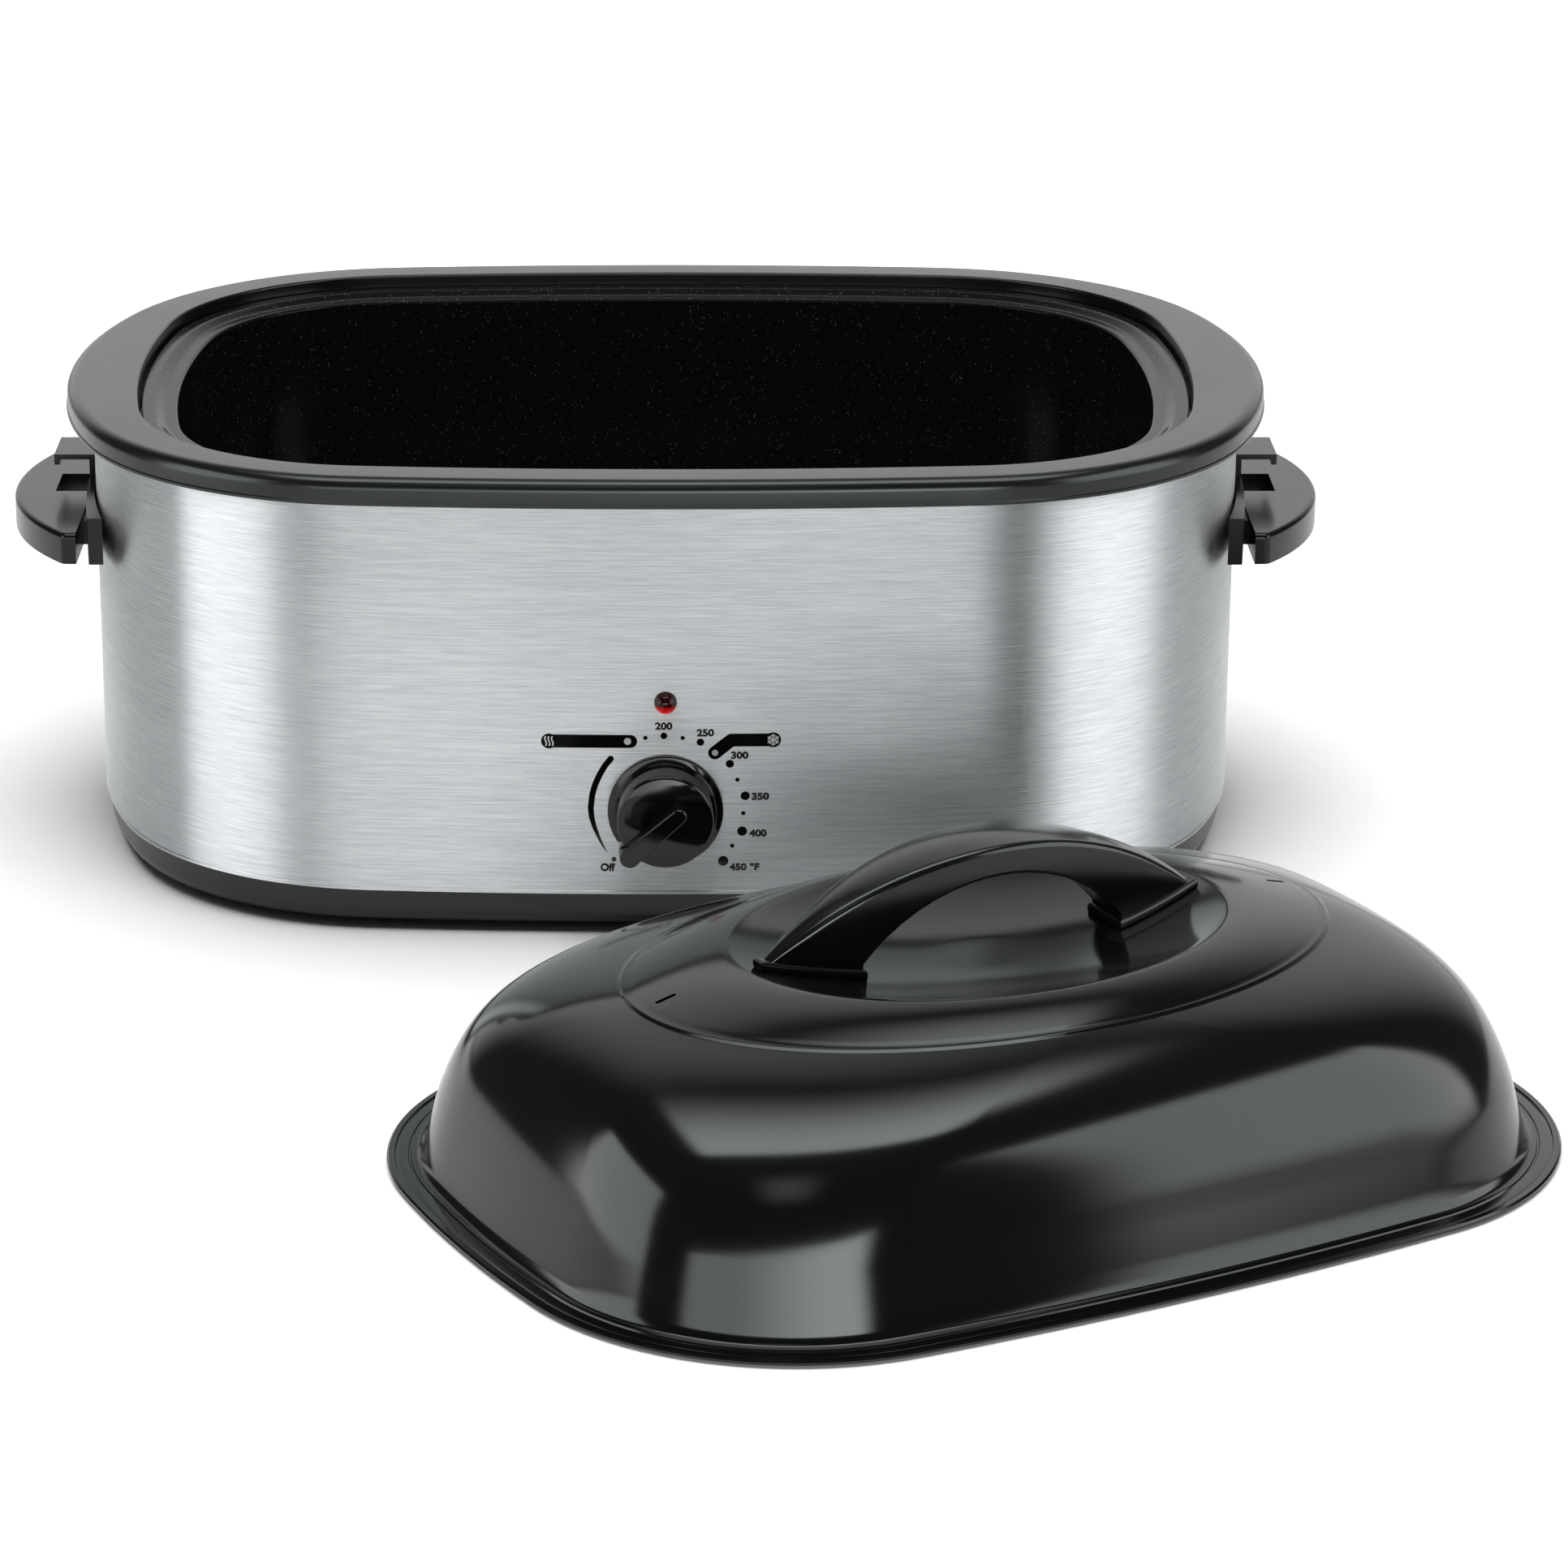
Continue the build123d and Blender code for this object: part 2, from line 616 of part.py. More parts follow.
with BuildPart() as liner_well:
    prism(LINER, LINER_FLOOR, FLANGE_TOP)
    fillet(liner_well.edges().group_by(Axis.Z)[0], LINER_CORNER)
    add(well_cavity.part, mode=Mode.SUBTRACT)
    band(OPENING.inset(FLANGE_EDGE), LINER, LEDGE_TOP, FLANGE_TOP)
    for x, y in LINER_SCREW_PLACES:
        rod((x, y, LEDGE_TOP), (0, 0, 1), LINER_SCREW_RADIUS + NEAR, LINER_SHEET, Mode.SUBTRACT)
liner_well.part.label = "liner_well"
export_step(liner_well.part, "parts/liner_well.step")

with BuildPart() as liner_screws:
    for x, y in LINER_SCREW_PLACES:
        rod((x, y, FLANGE_TOP), (0, 0, 1), LINER_SCREW_HEAD, LINER_SCREW_HEIGHT)
        rod((x, y, FLANGE_TOP), (0, 0, -1), LINER_SCREW_RADIUS, LINER_SCREW_LENGTH)
liner_screws.part.label = "liner_screws"
export_step(liner_screws.part, "parts/liner_screws.step")


# ---- heating bands, clips, ceramic terminal and insulation -----------------------------------

band_bottom = min(BAND_LEVELS)
band_top = max(BAND_LEVELS) + BAND_HEIGHT

with BuildPart() as heating_bands:
    for level in BAND_LEVELS:
        band(BAND_FACE, LINER.inset(-BAND_GAP), level, level + BAND_HEIGHT)
    block((-BAND_END, 0, band_bottom), (BAND_END, REAR, band_top), Mode.SUBTRACT)
heating_bands.part.label = "heating_bands"
export_step(heating_bands.part, "parts/heating_bands.step")

with BuildPart() as band_clips:
    clip_low = band_bottom - CLIP_OVER
    clip_high = band_top + CLIP_OVER
    for x in (-CLIP_X, CLIP_X):
        for sy in (-1, 1):
            strap(CLIP_OUTER, CLIP_INNER, clip_low, clip_high, (x, sy * REAR), (CLIP_WIDTH, REAR))
    for sx in (-1, 1):
        centre = (sx * CLIP_OUTER.half_length, 0)
        strap(CLIP_OUTER, CLIP_INNER, clip_low, clip_high, centre, (REAR, CLIP_WIDTH))
band_clips.part.label = "band_clips"
export_step(band_clips.part, "parts/band_clips.step")

terminal_y = LINER.half_depth + BAND_GAP
with BuildPart() as element_terminal:
    low = (-TERMINAL_HALF, terminal_y, band_bottom)
    block(low, (TERMINAL_HALF, terminal_y + TERMINAL_DEPTH, band_top))
    fillet(element_terminal.edges().filter_by(Axis.Z), 1.0)
element_terminal.part.label = "element_terminal"
export_step(element_terminal.part, "parts/element_terminal.step")

with BuildPart() as insulation_blanket:
    band(BLANKET_OUTER, BLANKET_INNER, BLANKET_BOTTOM, BLANKET_TOP)
    low = (-WINDOW_HALF, -REAR, PILOT_Z - WINDOW_RISE)
    block(low, (WINDOW_HALF, 0, PILOT_Z + WINDOW_RISE), Mode.SUBTRACT)
    low = (-WINDOW_HALF, 0, BLANKET_BOTTOM)
    block(low, (WINDOW_HALF, REAR, band_top + CLIP_OVER), Mode.SUBTRACT)
insulation_blanket.part.label = "insulation_blanket"
export_step(insulation_blanket.part, "parts/insulation_blanket.step")


# ---- thermostat behind the dial --------------------------------------------------------------

bracket_front = NEAR - WRAP_BACK.y_at(BRACKET_SIZE / 2)
bracket_back = bracket_front + BRACKET_SHEET
body_back = bracket_back + THERMOSTAT_DEPTH
shaft_end = body_back - 2.0

with BuildPart() as thermostat_bracket:
    half = BRACKET_SIZE / 2
    block((-half, bracket_front, DIAL_Z - half), (half, bracket_back, DIAL_Z + half))
    fillet(thermostat_bracket.edges().filter_by(Axis.Y), 3.0)
    rod((0, bracket_front, DIAL_Z), (0, 1, 0), BUSH_RADIUS + NEAR, BRACKET_SHEET, Mode.SUBTRACT)
thermostat_bracket.part.label = "thermostat_bracket"
export_step(thermostat_bracket.part, "parts/thermostat_bracket.step")

with BuildPart() as thermostat_body:
    half = THERMOSTAT_WIDTH / 2
    block((-half, bracket_back, DIAL_Z - half), (half, body_back, DIAL_Z + half))
    fillet(thermostat_body.edges().filter_by(Axis.Y), 2.0)
    rod((0, bracket_back, DIAL_Z), (0, -1, 0), BUSH_RADIUS, bracket_back - PANEL + BUSH_REACH)
    bore_length = shaft_end + 0.5 - PANEL + BUSH_REACH
    rod((0, shaft_end + 0.5, DIAL_Z), (0, -1, 0), SHAFT_RADIUS + PLAY, bore_length, Mode.SUBTRACT)
thermostat_body.part.label = "thermostat_body"
export_step(thermostat_body.part, "parts/thermostat_body.step")

with BuildPart() as thermostat_nut:
    with BuildSketch(Plane.XZ.offset(-PANEL + NEAR)):
        with Locations((0, DIAL_Z)):
            RegularPolygon(NUT_FLATS / 2, 6, major_radius=False)
            Circle(BUSH_RADIUS + FIT, mode=Mode.SUBTRACT)
    extrude(amount=NUT_THICK)
thermostat_nut.part.label = "thermostat_nut"
export_step(thermostat_nut.part, "parts/thermostat_nut.step")

shaft_tip = -(KNOB_BACK + SHAFT_REACH - 7.0)
with BuildPart() as control_shaft:
    rod((0, shaft_end, DIAL_Z), (0, -1, 0), SHAFT_RADIUS, shaft_end - shaft_tip)
    flat_top = DIAL_Z + SHAFT_RADIUS
    low = (-SHAFT_RADIUS, shaft_tip, flat_top - SHAFT_FLAT)
    block(low, (SHAFT_RADIUS, -KNOB_BACK - BUSH_REACH, flat_top), Mode.SUBTRACT)
control_shaft.part.label = "control_shaft"
export_step(control_shaft.part, "parts/control_shaft.step")

# pointer bar: straight sides up to the face, then drafted, its front sloping down to the tip
bar_length = POINTER_TIP + POINTER_TAIL
bar_shift = (POINTER_TAIL - POINTER_TIP) / 2
lean = radians(POINTER_ANGLE)
bar_centre = (bar_shift * cos(lean), DIAL_Z + bar_shift * sin(lean))
with BuildPart() as pointer_bar:
    for start, end, draft in (
        (KNOB_RIM, POINTER_ROOT, 0),
        (POINTER_ROOT, POINTER_HIGH + 1, POINTER_DRAFT),
    ):
        with BuildSketch(Plane.XZ.offset(KNOB_BACK + start)):
            with Locations(Location((*bar_centre, 0), POINTER_ANGLE)):
                SlotOverall(bar_length, POINTER_WIDTH)
        extrude(amount=end - start, taper=draft)
    along = (cos(lean), 0, sin(lean))
    across = (-sin(lean), 0, cos(lean))
    with BuildSketch(Plane(origin=(0, 0, DIAL_Z), x_dir=along, z_dir=across)):
        with BuildLine():
            Polyline(
                (-POINTER_TIP - 2, -KNOB_BACK - POINTER_LOW),
                (POINTER_TAIL + 2, -KNOB_BACK - POINTER_HIGH),
                (POINTER_TAIL + 2, -KNOB_BACK - POINTER_HIGH - 9),
                (-POINTER_TIP - 2, -KNOB_BACK - POINTER_HIGH - 9),
                close=True,
            )
        make_face()
    extrude(amount=POINTER_WIDTH, both=True, mode=Mode.SUBTRACT)
    fillet(pointer_bar.faces().sort_by(Axis.Y)[0].edges(), 0.7)

with BuildPart() as control_knob:
    with BuildSketch(Plane.XY.offset(DIAL_Z)) as knob_profile:
        with BuildLine():
            Polyline(
                (0, -KNOB_BACK),
                (KNOB_RADIUS, -KNOB_BACK),
                (KNOB_RADIUS, -KNOB_BACK - KNOB_RIM),
                (KNOB_WAIST, -KNOB_BACK - KNOB_RIM - KNOB_COVE),
                (KNOB_FACE_RADIUS, -KNOB_BACK - KNOB_FACE),
            )
            dish_bottom = (0, -KNOB_BACK - KNOB_FACE + KNOB_DISH)
            turned = (KNOB_FACE_RADIUS, -KNOB_BACK - KNOB_FACE)
            half_way = (KNOB_FACE_RADIUS / 2, -KNOB_BACK - KNOB_FACE + KNOB_DISH * 0.75)
            ThreePointArc(turned, half_way, dish_bottom)
            Line(dish_bottom, (0, -KNOB_BACK))
        make_face()
    revolve(axis=Axis((0, 0, DIAL_Z), (0, 1, 0)))
    rim_edges = control_knob.edges().filter_by(GeomType.CIRCLE).group_by(Axis.Y)
    fillet(rim_edges[0], 0.8)
    add(pointer_bar.part)
    # hollow back with a hub bored for the shaft
    rod((0, -KNOB_BACK, DIAL_Z), (0, -1, 0), KNOB_HOLLOW, KNOB_HOLLOW_DEPTH, Mode.SUBTRACT)
    hub_back = -KNOB_BACK - BUSH_REACH - 0.4
    rod((0, hub_back, DIAL_Z), (0, -1, 0), KNOB_HUB, KNOB_BACK + KNOB_HOLLOW_DEPTH + 1 + hub_back)
    rod((0, hub_back, DIAL_Z), (0, -1, 0), SHAFT_RADIUS + FIT, hub_back - shaft_tip + 0.3, Mode.SUBTRACT)
control_knob.part.label = "control_knob"
export_step(control_knob.part, "parts/control_knob.step")


# ---- pilot light -----------------------------------------------------------------------------

lens_back = PANEL - NEAR
lens_stem_end = lens_back + LENS_STEM_LENGTH

with BuildPart() as pilot_lens:
    with BuildSketch(Plane.XY.offset(PILOT_Z)) as lens_profile:
        with BuildLine():
            front = lens_back - LENS_RIM - LENS_DOME
            swell = (LENS_RADIUS * sin(pi / 4), lens_back - LENS_RIM - LENS_DOME * sin(pi / 4))
            ThreePointArc((0, front), swell, (LENS_RADIUS, lens_back - LENS_RIM))
            Polyline(
                (LENS_RADIUS, lens_back - LENS_RIM),
                (LENS_RADIUS, lens_back),
                (LENS_STEM, lens_back),
                (LENS_STEM, lens_stem_end),
                (LENS_BORE, lens_stem_end),
                (LENS_BORE, lens_back),
                (0, lens_back),
                (0, front),
            )
        make_face()
    revolve(axis=Axis((0, 0, PILOT_Z), (0, 1, 0)))
pilot_lens.part.label = "pilot_lens"
export_step(pilot_lens.part, "parts/pilot_lens.step")

with BuildPart() as pilot_lamp:
    rod((0, lens_back + 0.5, PILOT_Z), (0, 1, 0), LAMP_RADIUS, LAMP_LENGTH)
    fillet(pilot_lamp.edges().sort_by(Axis.Y)[0], 1.5)
pilot_lamp.part.label = "pilot_lamp"
export_step(pilot_lamp.part, "parts/pilot_lamp.step")

with BuildPart() as lamp_retainer:
    retainer_front = PANEL_BACK + NEAR
    rod((0, retainer_front, PILOT_Z), (0, 1, 0), RETAINER_RADIUS, RETAINER_SHEET)
    rod((0, retainer_front, PILOT_Z), (0, 1, 0), LENS_STEM + FIT, RETAINER_SHEET, Mode.SUBTRACT)
lamp_retainer.part.label = "lamp_retainer"
export_step(lamp_retainer.part, "parts/lamp_retainer.step")


# ---- cord entry at the back ------------------------------------------------------------------

with BuildPart() as cord_gland:
    rod((0, REAR + NEAR, GLAND_Z), (0, 1, 0), GLAND_FLANGE, GLAND_FLANGE_THICK)
    fillet(cord_gland.edges().sort_by(Axis.Y)[-1], 1.2)
    rod((0, REAR + NEAR, GLAND_Z), (0, -1, 0), GLAND_RADIUS, GLAND_LENGTH)
    start = (0, REAR + NEAR - GLAND_LENGTH, GLAND_Z)
    rod(start, (0, 1, 0), GLAND_BORE, GLAND_LENGTH + GLAND_FLANGE_THICK, Mode.SUBTRACT)
cord_gland.part.label = "cord_gland"
export_step(cord_gland.part, "parts/cord_gland.step")

with BuildPart() as gland_nut:
    with BuildSketch(Plane.XZ.offset(-REAR_BACK + NEAR)):
        with Locations((0, GLAND_Z)):
            RegularPolygon(GLAND_NUT, 6, major_radius=False)
            Circle(GLAND_RADIUS + FIT, mode=Mode.SUBTRACT)
    extrude(amount=GLAND_NUT_THICK)
gland_nut.part.label = "gland_nut"
export_step(gland_nut.part, "parts/gland_nut.step")


# ---- heat shield, terminal block and wiring --------------------------------------------------

with BuildPart() as heat_shield:
    with BuildSketch(Plane.XY.offset(SHIELD_Z)):
        RectangleRounded(2 * SHIELD_X, 2 * SHIELD_Y, 20)
        with Locations(*four(SHIELD_POST_X, SHIELD_POST_Y)):
            Circle(SHIELD_SCREW + NEAR, mode=Mode.SUBTRACT)
    extrude(amount=SHIELD_SHEET)
heat_shield.part.label = "heat_shield"
export_step(heat_shield.part, "parts/heat_shield.step")

with BuildPart() as shield_screws:
    for x, y in four(SHIELD_POST_X, SHIELD_POST_Y):
        rod((x, y, SHIELD_Z + SHIELD_SHEET), (0, 0, 1), SHIELD_SCREW_HEAD, 2.0)
        rod((x, y, SHIELD_Z + SHIELD_SHEET), (0, 0, -1), SHIELD_SCREW, 9.0)
shield_screws.part.label = "shield_screws"
export_step(shield_screws.part, "parts/shield_screws.step")

with BuildPart() as terminal_block:
    width, depth, height = TERMINAL_BLOCK
    low = (-width / 2, TERMINAL_BLOCK_Y - depth / 2, floor_top)
    block(low, (width / 2, TERMINAL_BLOCK_Y + depth / 2, floor_top + height))
    fillet(terminal_block.edges().filter_by(Axis.Z), 1.5)
    with GridLocations(LEAD_X, 0, 3, 1):
        with Locations((0, TERMINAL_BLOCK_Y - depth / 4, floor_top + height)):
            Cylinder(2.2, 4.0, mode=Mode.SUBTRACT)
terminal_block.part.label = "terminal_block"
export_step(terminal_block.part, "parts/terminal_block.step")

block_top = floor_top + TERMINAL_BLOCK[2]
fuse_z = LINER_FLOOR - FUSE_RADIUS - NEAR

with BuildPart() as thermal_fuse:
    rod((-LEAD_X, -FUSE_LENGTH / 2, fuse_z), (0, 1, 0), FUSE_RADIUS, FUSE_LENGTH)
    fillet(thermal_fuse.edges().filter_by(GeomType.CIRCLE), 0.8)
thermal_fuse.part.label = "thermal_fuse"
export_step(thermal_fuse.part, "parts/thermal_fuse.step")

with BuildPart() as sensor_bulb:
    bulb_z = LINER_FLOOR - BULB_RADIUS - NEAR
    rod((-BULB_LENGTH / 2, BULB_Y, bulb_z), (1, 0, 0), BULB_RADIUS, BULB_LENGTH)
    fillet(sensor_bulb.edges().filter_by(GeomType.CIRCLE), 1.5)
sensor_bulb.part.label = "sensor_bulb"
export_step(sensor_bulb.part, "parts/sensor_bulb.step")

with BuildPart() as floor_clips:
    # sheet saddles welded to the well's floor, two round the bulb and one round the fuse
    saddles = [(x, BULB_Y, bulb_z, BULB_RADIUS, Plane.YZ) for x in (-18.0, 18.0)]
    saddles.append((-LEAD_X, 0.0, fuse_z, FUSE_RADIUS, Plane.XZ))
    for x, y, level, held, across in saddles:
        inside = held + NEAR
        outside = inside + STRAP_SHEET
        floor_up = LINER_FLOOR - level
        with BuildSketch(Plane(origin=(x, y, level), x_dir=across.x_dir, z_dir=across.z_dir)) as saddle:
            Circle(outside)
            with Locations((0, floor_up / 2)):
                Rectangle(2 * outside, floor_up)
            with Locations((0, floor_up - STRAP_SHEET / 2)):
                Rectangle(2 * outside + 10, STRAP_SHEET)
            Circle(inside, mode=Mode.SUBTRACT)
            with Locations((0, floor_up)):
                Rectangle(2 * inside, 2 * floor_up, mode=Mode.SUBTRACT)
            with Locations((0, floor_up + outside)):
                Rectangle(2 * outside, 2 * outside, mode=Mode.SUBTRACT)
        extrude(saddle.sketch, amount=STRAP_WIDTH / 2, both=True)
floor_clips.part.label = "floor_clips"
export_step(floor_clips.part, "parts/floor_clips.step")

with BuildPart() as capillary_tube:
    bulb_end = -BULB_LENGTH / 2
    tube(
        [
            (-10, body_back, LEAD_LEVEL + 4),
            (-10, BULB_Y - 38, LEAD_LEVEL + 4),
            (bulb_end - 30, BULB_Y - 16, bulb_z - 4),
            (bulb_end - 24, BULB_Y, bulb_z),
            (bulb_end, BULB_Y, bulb_z),
        ],
        CAPILLARY_RADIUS,
        [10, 9, 8],
    )
capillary_tube.part.label = "capillary_tube"
export_step(capillary_tube.part, "parts/capillary_tube.step")

with BuildPart() as fuse_leads:
    # from the terminal block up and forward to the fuse, then on to the thermostat
    half_fuse = FUSE_LENGTH / 2
    tube(
        [
            (-LEAD_X, TERMINAL_BLOCK_Y, block_top),
            (-LEAD_X, TERMINAL_BLOCK_Y, LEAD_LEVEL),
            (-LEAD_X, half_fuse + FUSE_RUN + FUSE_SLOPE, LEAD_LEVEL),
            (-LEAD_X, half_fuse + FUSE_RUN, fuse_z),
            (-LEAD_X, half_fuse, fuse_z),
        ],
        LEAD_RADIUS,
        [LEAD_BEND, 14, 14],
    )
    tube(
        [
            (-LEAD_X, -half_fuse, fuse_z),
            (-LEAD_X, -half_fuse - FUSE_RUN, fuse_z),
            (-LEAD_X, -half_fuse - FUSE_RUN - FUSE_SLOPE, LEAD_LEVEL),
            (-LEAD_X, body_back, LEAD_LEVEL),
        ],
        LEAD_RADIUS,
        [14, 14],
    )
fuse_leads.part.label = "fuse_leads"
export_step(fuse_leads.part, "parts/fuse_leads.step")

with BuildPart() as element_leads:
    # one from the block and one from the thermostat, both up to the ceramic terminal
    rise_y = terminal_y + TERMINAL_DEPTH / 2
    tube(
        [
            (LEAD_X / 2, TERMINAL_BLOCK_Y + 4, block_top),
            (LEAD_X / 2, TERMINAL_BLOCK_Y + 4, LEAD_LEVEL - 12),
            (LEAD_X / 2, rise_y, LEAD_LEVEL + 12),
            (LEAD_X / 2, rise_y, band_bottom),
        ],
        LEAD_RADIUS,
        [LEAD_BEND, LEAD_BEND],
    )
    tube(
        [
            (LEAD_X, body_back, LEAD_LEVEL),
            (LEAD_X, TERMINAL_BLOCK_Y - 40, LEAD_LEVEL),
            (-LEAD_X / 4, TERMINAL_BLOCK_Y + 4, LEAD_LEVEL),
            (-LEAD_X / 4, rise_y, LEAD_LEVEL + 10),
            (-LEAD_X / 4, rise_y, band_bottom),
        ],
        LEAD_RADIUS,
        [30, LEAD_BEND, LEAD_BEND],
    )
element_leads.part.label = "element_leads"
export_step(element_leads.part, "parts/element_leads.step")


# ---- side handles ----------------------------------------------------------------------------

steel = WRAP.end + NEAR      # the handle's back follows the steel's end arc
steel_low = WRAP.x_at(PLATE_HALF) - 4

with BuildPart() as right_handle:
    # back plate against the steel
    with BuildSketch(Plane.XY.offset(GRIP_BOTTOM)) as back_plate:
        with Locations((GRIP_INNER - PLATE_BOW, 0)):
            Circle(PLATE_BOW)
        with Locations((steel_low, 0)):
            Rectangle(60, 2 * PLATE_HALF, align=(Align.MIN, Align.CENTER), mode=Mode.INTERSECT)
        with Locations((WRAP.end_x, 0)):
            Circle(steel, mode=Mode.SUBTRACT)
    extrude(amount=PLATE_TOP - GRIP_BOTTOM)
    # grip slab with a bowed outer edge
    with BuildSketch(Plane.XY.offset(GRIP_BOTTOM)) as slab:
        with Locations((GRIP_REACH - GRIP_BOW, 0)):
            Circle(GRIP_BOW)
        with Locations((GRIP_INNER - 0.5, 0)):
            Rectangle(60, 2 * GRIP_HALF_LENGTH, align=(Align.MIN, Align.CENTER), mode=Mode.INTERSECT)
        fillet(slab.vertices().group_by(Axis.X)[-1], 4.0)
    extrude(slab.sketch, amount=GRIP_THICK)
    # web and ribs between plate and slab, and the post that carries the lid shelf
    links = [(WEB_HALF, 0, GRIP_TOP - WEB_DROP - WEB_THICK, GRIP_TOP - WEB_DROP)]
    for y in GRIP_RIBS:
        for sy in (-1, 1):
            links.append((GRIP_RIB / 2, sy * y, GRIP_BOTTOM + 1, GRIP_TOP - WEB_DROP))
    links.append((POST_HALF, 0, GRIP_TOP - WEB_DROP - WEB_THICK, SHELF_TOP))
    for half, y, low, high in links:
        with BuildSketch(Plane.XY.offset(low)) as link:
            with Locations((steel_low, y)):
                Rectangle(GRIP_INNER - steel_low, 2 * half, align=(Align.MIN, Align.CENTER))
            with Locations((WRAP.end_x, 0)):
                Circle(steel, mode=Mode.SUBTRACT)
        extrude(link.sketch, amount=high - low)
    # lid shelf with a lip turned down at its outer edge
    shelf_low = SHELF_TOP - SHELF_THICK
    block((GRIP_INNER - 1, -POST_HALF, shelf_low), (SHELF_REACH, POST_HALF, SHELF_TOP))
    lip_inner = SHELF_REACH - SHELF_THICK
    block((lip_inner, -POST_HALF, shelf_low - SHELF_LIP), (SHELF_REACH, POST_HALF, shelf_low))
    # notch through the slab under the shelf
    block((GRIP_INNER, -NOTCH_HALF, GRIP_BOTTOM), (SHELF_REACH, NOTCH_HALF, GRIP_TOP), Mode.SUBTRACT)
    for y in (-GRIP_SCREW_Y, GRIP_SCREW_Y):
        start = (WRAP.x_at(GRIP_SCREW_Y) - 1, y, GRIP_SCREW_Z)
        rod(start, (1, 0, 0), GRIP_SCREW_RADIUS + FIT, GRIP_SCREW_BITE + 2, Mode.SUBTRACT)
    slab_rim = [
        edge
        for edge in right_handle.edges().filter_by_position(Axis.Z, GRIP_TOP - 0.01, GRIP_TOP + 0.01)
        if edge.center().X > GRIP_INNER + 4 and abs(edge.center().Y) < GRIP_HALF_LENGTH + 1
        and edge.length > 60
    ]
    fillet(slab_rim, 2.5)
right_handle.part.label = "right_handle"
export_step(right_handle.part, "parts/right_handle.step")

with BuildPart() as left_handle:
    mirror(right_handle.part, about=Plane.YZ)
left_handle.part.label = "left_handle"
export_step(left_handle.part, "parts/left_handle.step")

backing_outer = WRAP_BACK.inset(SEAT)
backing_inner = backing_outer.inset(BACKING_SHEET)
backing_low = GRIP_SCREW_Z - BACKING_HEIGHT / 2
backing_high = GRIP_SCREW_Z + BACKING_HEIGHT / 2

with BuildPart() as handle_backing_plates:
    for side in (-1, 1):
        centre = (side * backing_outer.half_length, 0)
        size = (40, 2 * BACKING_HALF)
        strap(backing_outer, backing_inner, backing_low, backing_high, centre, size)
    for side in (-1, 1):
        for y in (-GRIP_SCREW_Y, GRIP_SCREW_Y):
            start = (side * (backing_inner.x_at(GRIP_SCREW_Y) - 1), y, GRIP_SCREW_Z)
            rod(start, (side, 0, 0), GRIP_SCREW_RADIUS + NEAR, 2 * BACKING_SHEET, Mode.SUBTRACT)
handle_backing_plates.part.label = "handle_backing_plates"
export_step(handle_backing_plates.part, "parts/handle_backing_plates.step")

with BuildPart() as handle_screws:
    for side in (-1, 1):
        for y in (-GRIP_SCREW_Y, GRIP_SCREW_Y):
            seat_x = backing_inner.x_at(GRIP_SCREW_Y + GRIP_SCREW_HEAD) - NEAR
            reach = WRAP.x_at(GRIP_SCREW_Y) + GRIP_SCREW_BITE - seat_x
            rod((side * seat_x, y, GRIP_SCREW_Z), (-side, 0, 0), GRIP_SCREW_HEAD, GRIP_SCREW_HEAD_HEIGHT)
            rod((side * seat_x, y, GRIP_SCREW_Z), (side, 0, 0), GRIP_SCREW_RADIUS, reach)
handle_screws.part.label = "handle_screws"
export_step(handle_screws.part, "parts/handle_screws.step")


# ---- roasting pan ----------------------------------------------------------------------------

with BuildPart() as pan_cavity:
    taper(PAN_FOOT, PAN_FLOOR, PAN_MOUTH, PAN_SEAT_Z)
    fillet(pan_cavity.edges().group_by(Axis.Z)[0], PAN_CORNER - PAN_SHEET)

with BuildPart() as roasting_pan:
    prism(PAN_RIM, PAN_TOP - PAN_SHEET, PAN_TOP)
    taper(
        PAN_SEAT_OUTER.inset(-PAN_SHEET / 2), PAN_SEAT_Z - PAN_SHEET,
        PAN_RIM_INNER.inset(-PAN_SHEET / 2), PAN_TOP - PAN_SHEET,
    )
    taper(
        PAN_FOOT.inset(-PAN_SHEET), PAN_FLOOR - PAN_SHEET,
        PAN_MOUTH.inset(-PAN_SHEET), PAN_SEAT_Z - PAN_SHEET,
    )
    fillet(roasting_pan.edges().group_by(Axis.Z)[0], PAN_CORNER)
    taper(PAN_SEAT_OUTER, PAN_SEAT_Z, PAN_RIM_INNER, PAN_TOP, Mode.SUBTRACT)
    add(pan_cavity.part, mode=Mode.SUBTRACT)
    # turned-down hem that stands on the well's flange
    band(PAN_RIM, PAN_RIM.inset(PAN_SHEET), FLANGE_TOP + SEAT, PAN_TOP - PAN_SHEET)
    fillet(roasting_pan.faces().sort_by(Axis.Z)[-1].outer_wire().edges(), 0.8)
roasting_pan.part.label = "roasting_pan"
export_step(roasting_pan.part, "parts/roasting_pan.step")


# ---- roasting rack ---------------------------------------------------------------------------

LOOP = OPENING.inset(RACK_IN)
loop_z = PAN_FLOOR + RACK_HEIGHT
leg_y = LOOP.reach_at(LEG_X)

with BuildPart() as rack_frame:
    with BuildLine(Plane.XY.offset(loop_z)) as loop_line:
        LOOP.draw()
    loop_path = loop_line.wire()
    with BuildSketch(Plane(origin=loop_path @ 0, z_dir=loop_path % 0)):
        Circle(LOOP_WIRE)
    sweep(path=loop_path)
    for x, y in four(LEG_X, leg_y):
        rod((x, y, PAN_FLOOR + SEAT), (0, 0, 1), LEG_WIRE, loop_z - PAN_FLOOR - SEAT)
rack_frame.part.label = "rack_frame"
export_step(rack_frame.part, "parts/rack_frame.step")

